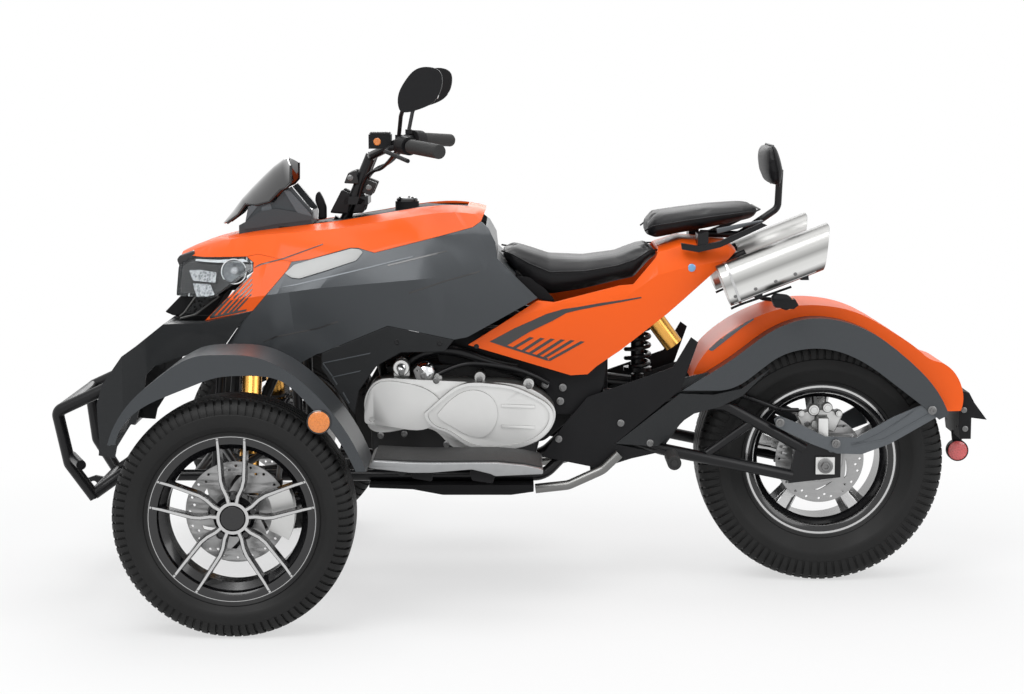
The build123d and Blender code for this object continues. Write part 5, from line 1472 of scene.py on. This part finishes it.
        glass = bmesh.new()
        bmesh.ops.create_uvsphere(glass, u_segments=28, v_segments=14, radius=1.0,
                                  matrix=Matrix.Translation((0.1905, 0.400, 1.252)) @ Matrix.Rotation(-0.10, 4, "Y")
                                  @ Matrix.Diagonal((0.004, 0.021, 0.030, 1.0)))
        piece("mirror_glasses", mirrored(glass), "lamp_chrome", BARS, "brushed_silver")
        lid = bmesh.new()
        bmesh.ops.create_cube(lid, size=1.0, matrix=Matrix.Translation((0.339, 0.205, 1.1365))
                              @ Matrix.Diagonal((0.050, 0.050, 0.006, 1.0)))
        bmesh.ops.bevel(lid, geom=lid.edges[:], offset=0.0018, segments=2, affect="EDGES")
        piece("reservoir_lid", lid, "cast_dark", BARS, "cast_dark")
        window = lathe([(0.0004, 0.0015), (0.0075, 0.0015), (0.009, 0.0), (0.009, -0.003), (0.0004, -0.003)],
                       (0.345, 0.2325, 1.117), 24)
        piece("reservoir_window", window, "amber_lens", BARS)
        cap = bmesh.new()
        join(cap, upturned(lathe([(0.0004, 0.012), (0.024, 0.012), (0.027, 0.009), (0.027, -0.006), (0.0004, -0.006)],
                                 (0, 0, 0), 40), (0.285, 0, 0.957)))
        for k in range(3):
            angle = 2.1 * k + 0.3
            join(cap, upturned(lathe([(0.0004, 0.003), (0.003, 0.002), (0.003, -0.002), (0.0004, -0.002)], (0, 0, 0), 12),
                               (0.285 + 0.019 * math.cos(angle), 0.019 * math.sin(angle), 0.969)))
        piece("fuel_cap", cap, "rim_black", CHASSIS, "rim_black", 30)
        bolts("clamp_bolts", ((424, 59.5, 1022), (378, 59.5, 998)), 5.0, "bolt_steel", BARS)

        leads = bmesh.new()
        for side in (1, -1):
            pipe(millimetres([(300, side * 222, 1094), (330, side * 170, 1050), (372, side * 90, 1040),
                              (398, side * 60, 1000), (404, side * 50, 960)]), 0.0045, 10, leads)
        piece("bar_leads", leads, "frame_black", BARS, "frame_black")
        return {"FINISHED"}
class TRIKE_OT_running_gear(bpy.types.Operator):
    """Round the frame's tubes and the bull bar, and build the shocks, calipers, hoses and bolts."""
    bl_idname = "trike.running_gear"
    bl_label = "Running gear"

    rounded = (("frame", "frame_black", 0.0015), ("swing_arm", "frame_black", 0.002), ("bull_bar", "frame_black", 0.002),
               ("control_arms", "frame_black", 0.002), ("rear_axle", "cast_silver", 0.002),
               ("knuckle_left", "cast_dark", 0.0015), ("knuckle_right", "cast_dark", 0.0015),
               ("tie_rod_left", "frame_black", 0.001), ("tie_rod_right", "frame_black", 0.001),
               ("grab_rails", "frame_black", 0.003), ("backrest_post", "frame_black", 0.002),
               ("rear_caliper", "cast_silver", 0.003), ("front_caliper_left", "cast_silver", 0.003),
               ("front_caliper_right", "cast_silver", 0.003), ("shock_reservoir", "gold_metal", 0.003),
               ("exhaust_pipes", "brushed_silver", 0.001), ("foot_pegs", "grip_rubber", 0.003))
    stay_bolts = ((-645, 171, 421), (-785, 171, 368), (-1022, 171, 452))
    cover_bolts = ((-323, 172, 370), (-250, 172, 420), (-96, 172, 380))
    stay_recess = ((-823, 368), (-860, 374), (-903, 396), (-1002, 470), (-1018, 442), (-904, 376), (-827, 360))
    filler = ((-174, 419), (-248, 475), (-409, 531), (-556, 563), (-545, 507), (-508, 466), (-440, 444), (-403, 419), (-355, 350),
              (-324, 340), (-249, 318), (-212, 309), (-175, 287))
    pots = ((-739, 441, 15), (-773, 447, 13), (-743, 405, 11), (-802, 432, 9), (-708, 432, 9))
    caliper_bolts = ((-690, 88, 436), (-798, 88, 436), (-770, 88, 404), (-724, 88, 404))

    # The front hoses part at the kingpin, so that each half stays with its own body.
    frame_hose = ((560, 300, 500), (572, 395, 480), (598, 432, 456), (620, 455, 430), (630, 472, 408))
    caliper_hose = ((572, 534, 334), (572, 510, 344), (579, 501, 351), (588, 504, 350), (592, 516, 342))

    def execute(self, context):
        for node, finish, bevel in self.rounded:
            softened(node, finish, bevel, finish)
        bolts("stay_bolts", self.stay_bolts, 7.5)
        bolts("cover_screws", self.cover_bolts, 6.0)
        bolts("caliper_bolts", self.caliper_bolts, 5.0, both=False)
        pots = bmesh.new()
        for x, z, r in self.pots:
            turned = [(0.4, 14), (r * 0.55, 14), (r * 0.6, 12), (r * 0.85, 12), (r, 9), (r, -6), (0.4, -6)]
            join(pots, lathe(millimetres(turned), Vector((x, 88, z)) * MM, 32))
        piece("caliper_pots", pots, "cast_silver", CHASSIS, "cast_silver", 30)
        side_plate("swing_fillers", [rounded_outline([Vector(p) for p in self.filler], 8)], 146, 4, "carbon_weave",
                   bevel=1, slot="black_plastic")
        bolts("axle_nuts", ((-760, 168, 311),), 13.0)
        stays = surface("mudguard_stays")
        piece("stay_recesses", laid(edging([self.stay_recess], 3), stays, 0.4, 1.2, fallback=0.165), "grey_light",
              CHASSIS, "grey_metallic", 40)

        turns = context.scene.trike_sizes.spring_turns
        coil = helix((-0.300, 0, 0.540), (-0.300, 0, 0.688), 0.030, 0.0055, turns)
        low, high = 0.497, 0.722
        for r_mm, z_low, z_high in ((9, low * 1000, high * 1000), (17, 525, 640), (36, 528, 538), (36, 689, 700),
                                    (24, 700, 712), (16, 497, 520)):
            join(coil, upturned(lathe([(0.0004, z_low * MM), (r_mm * MM, z_low * MM), (r_mm * MM, z_high * MM),
                                       (0.0004, z_high * MM)], (0, 0, 0), 32), (-0.300, 0, 0)))
        piece("rear_spring", coil, "frame_black", CHASSIS, "frame_black", 40, ("rear_shock",))

        softened("front_shocks", "gold_metal", 0.003, "gold_metal")
        points = [v.co for v in frame["nodes"]["front_shocks"].data.vertices if v.co.y > 0]
        top = max(points, key=lambda p: p.z)
        low_point = min(points, key=lambda p: p.z)
        start, end = low_point.lerp(top, 0.16), low_point.lerp(top, 0.60)
        start.x = end.x = 0.655
        springs = helix(start, end, 0.033, 0.0048, 6.0)
        for share, thick in ((0.15, 0.006), (0.61, 0.008)):
            at = low_point.lerp(top, share)
            at.x = 0.655
            way = (top - low_point)
            way.x = 0
            way.normalize()
            pipe([at - way * thick / 2, at + way * thick / 2], 0.037, 28, springs)
        piece("front_springs", mirrored(springs), "frame_black", CHASSIS, "frame_black", 40)

        hose = pipe(millimetres([(-470, 118, 512), (-557, 118, 481), (-613, 116, 461), (-655, 108, 442), (-700, 92, 440)]),
                    0.0055, 12)
        route = [Vector(p) * MM for p in ((-557, 118, 481), (-655, 108, 442))]
        join(hose, helix(route[0], route[1], 0.0064, 0.0016, 18, 12, 6))
        for side in (1, -1):
            pipe(millimetres([(x, side * y, z) for x, y, z in self.frame_hose]), 0.0045, 10, hose)
        piece("brake_hoses", hose, "frame_black", CHASSIS, "frame_black")
        for side, name in ((1, "left"), (-1, "right")):
            hose = pipe(millimetres([(x, side * y, z) for x, y, z in self.caliper_hose]), 0.0045, 10)
            piece("caliper_hose_" + name, hose, "frame_black", "knuckle_" + name, "frame_black")
        return {"FINISHED"}


class TRIKE_OT_silencers(bpy.types.Operator):
    """Build the silencers' brushed shells, dark cores, seams, rivets and brackets."""
    bl_idname = "trike.silencers"
    bl_label = "Silencers"

    front = (-497, 764)
    half_width, half_height, side_y = 46, 52, 195
    rivets = ((-523, 743), (-572, 761), (-621, 779), (-668, 797))
    rod = ((-517, 708), (-534, 717), (-600, 739), (-664, 762))

    def along(self, distance, across=0.0):
        """A side-view place on the silencer: along its axis from the front, then upwards across it."""
        slope = math.radians(21.5)
        return (self.front[0] - distance * math.cos(slope) + across * math.sin(slope),
                self.front[1] + distance * math.sin(slope) + across * math.cos(slope))

    def execute(self, context):
        softened("silencers", "brushed_silver", 0.0012, "brushed_silver")
        cores = bmesh.new()
        for start, end, radius in ((6, 190, 0.031), (120, 200, 0.0335)):
            (x0, z0), (x1, z1) = self.along(start), self.along(end)
            pipe([Vector((x0, self.side_y, z0)) * MM, Vector((x1, self.side_y, z1)) * MM], radius, 32, cores)
        piece("silencer_cores", mirrored(cores), "cast_dark", CHASSIS, "cast_dark")
        seams = bmesh.new()
        for across, y, radius in ((-46, self.side_y + 25, 0.0022), (-46, self.side_y - 25, 0.0022)):
            (x0, z0), (x1, z1) = self.along(8, across), self.along(222, across)
            pipe([Vector((x0, y, z0)) * MM, Vector((x1, y, z1)) * MM], radius, 10, seams)
        for distance in (20,):
            points = []
            for k in range(48):
                angle = 2 * math.pi * k / 48
                c, s = math.cos(angle), math.sin(angle)
                a = (self.half_width + 0.7) * math.copysign(abs(c) ** 0.62, c)
                b = (self.half_height + 0.7) * math.copysign(abs(s) ** 0.62, s)
                x, z = self.along(distance, b)
                points.append(Vector((x, self.side_y + a, z)) * MM)
            rings = []
            for shift, swell in ((0, 0.0), (0, 1.0), (6, 1.0), (6, 0.0)):
                row = []
                dx, dz = (Vector(self.along(shift)) - Vector(self.along(0))) * MM
                middle = Vector((*[self.along(distance)[0]], 0, self.along(distance)[1])) * MM
                middle.y = self.side_y * MM
                for p in points:
                    outwards = (p - middle).normalized() * 0.0012 * swell
                    row.append(seams.verts.new(p + Vector((dx, 0, dz)) + outwards))
                rings.append(row)
            grid_faces(seams, rings, closed_path=True)
        piece("silencer_bands", mirrored(seams), "machined_face", CHASSIS, "brushed_silver", 40)
        bolts("silencer_rivets", [(x, self.side_y + 42, z) for x, z in self.rivets], 3.2)
        hangers = pipe([Vector((x, self.side_y, z)) * MM for x, z in self.rod], 0.003, 12)
        for distance in (70, 190):
            x, z = self.along(distance, -58)
            flat = sheet_with_holes([millimetres([(x - 10, z), (x + 10, z), (x + 8, z + 16), (x - 8, z + 16)])], 0.030, 0.001)
            join(hangers, to_side(flat, self.side_y * MM))
        piece("silencer_hangers", mirrored(hangers), "frame_black", CHASSIS, "frame_black")
        return {"FINISHED"}


class TRIKE_OT_tail(bpy.types.Operator):
    """Build the tail's reflectors, turn signals, plate bracket and the mudguard's inner pocket."""
    bl_idname = "trike.tail"
    bl_label = "Tail"

    signal = ((-610, 737), (-620, 749), (-654, 745), (-664, 733), (-663, 717), (-648, 707), (-620, 720))
    signal_lens = ((-648, 744), (-660, 740), (-670, 731), (-669, 717), (-656, 709), (-648, 710))
    rail_plate = ((-482, 902), (-485, 889), (-537, 902), (-600, 919), (-596, 923))
    pocket = ((-470, 596), (-505, 628), (-545, 657), (-580, 678), (-584, 672), (-552, 650), (-515, 620), (-480, 592))

    def execute(self, context):
        softened("plate_bracket", "black_plastic", 0.002, "black_plastic")
        softened("turn_signals", "black_plastic", 0.003, "black_plastic")
        side_plate("turn_signal_shells", [rounded_outline([Vector(p) for p in self.signal], 8)], 226, 36,
                   "black_plastic", bevel=8, slot="black_plastic")
        side_plate("turn_signal_lenses", [rounded_outline([Vector(p) for p in self.signal_lens], 5)], 226, 24,
                   "amber_lens", bevel=3)
        side_plate("grab_rail_plates", [rounded_outline([Vector(p) for p in self.rail_plate], 3)], 152, 14, "grey_light",
                   bevel=1.5, slot="grey_metallic")
        centre = Vector((-1.122, 0, 0.322))
        red = lathe([(0.0004, -0.0105), (0.0235, -0.0105), (0.0255, -0.009), (0.0255, 0.009), (0.0235, 0.0105),
                     (0.0004, 0.0105)], centre, 48)
        piece("tail_reflectors", red, "red_lens", CHASSIS, "red_lens", 40, ("tail_lamp",))
        rim = lathe([(0.0255, -0.0115), (0.0272, -0.011), (0.0276, -0.008), (0.0276, 0.008), (0.0272, 0.011),
                     (0.0255, 0.0115)], centre, 48)
        hanger = sheet_with_holes([millimetres([(-1132, 340), (-1110, 340), (-1106, 372), (-1134, 372)])], 0.012, 0.001)
        join(rim, to_side(hanger, 0.0))
        piece("tail_reflector_rim", rim, "black_plastic", CHASSIS, "black_plastic")
        crown = surface("rear_mudguard")
        piece("mudguard_pockets", laid([rounded_outline([Vector(p) for p in self.pocket], 8)], crown, 0.4, 1.0, fallback=0.11),
              "grey_light", CHASSIS, "grey_metallic", 40)
        lamp = bmesh.new()
        bmesh.ops.create_cube(lamp, size=1.0, matrix=Matrix.Translation((-1.128, 0, 0.462))
                              @ Matrix.Diagonal((0.020, 0.060, 0.020, 1.0)))
        bmesh.ops.bevel(lamp, geom=lamp.edges[:], offset=0.004, segments=2, affect="EDGES")
        piece("plate_lamp", lamp, "lamp_glass", CHASSIS, "lamp_glass")
        bolts("bracket_bolts", ((-1118, 91, 440), (-1122, 91, 392)), 5.0)
        return {"FINISHED"}




class TRIKE_OT_stage(bpy.types.Operator):
    """Build the camera, the lamps, the world and the floor."""
    bl_idname = "trike.stage"
    bl_label = "Stage"

    def execute(self, context):
        scene = context.scene
        scene.view_settings.view_transform = "Standard"
        camera = bpy.data.cameras.new("camera")
        camera.lens, camera.sensor_width = 74.7, 36.0
        holder = bpy.data.objects.new("camera", camera)
        holder.location = (0.020, 5.375, 1.280)
        holder.rotation_euler = (math.radians(90 - 7.334), 0, math.radians(180))
        scene.collection.objects.link(holder)
        scene.camera = holder

        lamps = (("key", (1.6, 3.4, 4.2), 3.2, 125.0), ("fill", (-3.4, 2.6, 2.6), 3.0, 50.0),
                 ("top", (0.0, -0.6, 4.4), 3.6, 70.0), ("back", (0.4, -4.2, 2.8), 3.2, 60.0))
        for name, place, size, power in lamps:
            data = bpy.data.lights.new(name, "AREA")
            data.shape, data.size, data.energy = "DISK", size, power
            lamp = bpy.data.objects.new(name, data)
            lamp.location = place
            lamp.rotation_euler = (Vector((0, 0, 0.5)) - Vector(place)).to_track_quat("-Z", "Y").to_euler()
            scene.collection.objects.link(lamp)

        world = bpy.data.worlds.new("studio")
        scene.world = world
        world.use_nodes = True
        nodes, links = world.node_tree.nodes, world.node_tree.links
        nodes.clear()
        path, direct, seen = (nodes.new(kind) for kind in ("ShaderNodeLightPath", "ShaderNodeMath", "ShaderNodeMath"))
        direct.operation = seen.operation = "MAXIMUM"
        links.new(path.outputs["Is Camera Ray"], direct.inputs[0])
        links.new(path.outputs["Is Transmission Ray"], direct.inputs[1])
        links.new(direct.outputs[0], seen.inputs[0])
        links.new(path.outputs["Is Glossy Ray"], seen.inputs[1])
        soft, white, both = nodes.new("ShaderNodeBackground"), nodes.new("ShaderNodeBackground"), nodes.new("ShaderNodeMixShader")
        soft.inputs[0].default_value, soft.inputs[1].default_value = (0.86, 0.88, 0.90, 1), 0.38
        white.inputs[0].default_value, white.inputs[1].default_value = (1, 1, 1, 1), 1.0
        out = nodes.new("ShaderNodeOutputWorld")
        links.new(seen.outputs[0], both.inputs[0])
        links.new(soft.outputs[0], both.inputs[1])
        links.new(white.outputs[0], both.inputs[2])
        links.new(both.outputs[0], out.inputs[0])

        mesh = bmesh.new()
        bmesh.ops.create_circle(mesh, cap_ends=True, segments=64, radius=30.0,
                                matrix=Matrix.Translation((0, 0, -0.0005)))
        data = bpy.data.meshes.new("floor")
        mesh.to_mesh(data)
        mesh.free()
        floor = bpy.data.objects.new("floor", data)
        data.materials.append(material("floor_paper"))
        scene.collection.objects.link(floor)
        return {"FINISHED"}


class TRIKE_PT_panel(bpy.types.Panel):
    """The trike's operators and settings"""
    bl_idname = "TRIKE_PT_panel"
    bl_label = "Trike"
    bl_space_type = "VIEW_3D"
    bl_region_type = "UI"
    bl_category = "Trike"

    def draw(self, context):
        for group in (context.scene.trike_paint, context.scene.trike_sizes):
            for name in group.bl_rna.properties.keys():
                if name not in ("rna_type", "name"):
                    self.layout.prop(group, name)
        for operator in OPERATORS:
            self.layout.operator(operator.bl_idname)


GROUPS = (TrikePaint, TrikeSizes)
OPERATORS = (TRIKE_OT_finishes, TRIKE_OT_stage, TRIKE_OT_seats, TRIKE_OT_tyres, TRIKE_OT_wheels, TRIKE_OT_bodywork,
             TRIKE_OT_reflectors, TRIKE_OT_engine, TRIKE_OT_lamps, TRIKE_OT_cockpit, TRIKE_OT_running_gear,
             TRIKE_OT_silencers, TRIKE_OT_tail)


def register():
    for kind in (*GROUPS, *OPERATORS, TRIKE_PT_panel):
        bpy.utils.register_class(kind)
    bpy.types.Scene.trike_paint = PointerProperty(type=TrikePaint)
    bpy.types.Scene.trike_sizes = PointerProperty(type=TrikeSizes)


def unregister():
    del bpy.types.Scene.trike_paint
    del bpy.types.Scene.trike_sizes
    for kind in reversed((*GROUPS, *OPERATORS, TRIKE_PT_panel)):
        bpy.utils.unregister_class(kind)


def main():
    register()
    for operator in OPERATORS:
        getattr(bpy.ops.trike, operator.bl_idname.split(".")[1])()


if __name__ == "__main__":
    main()
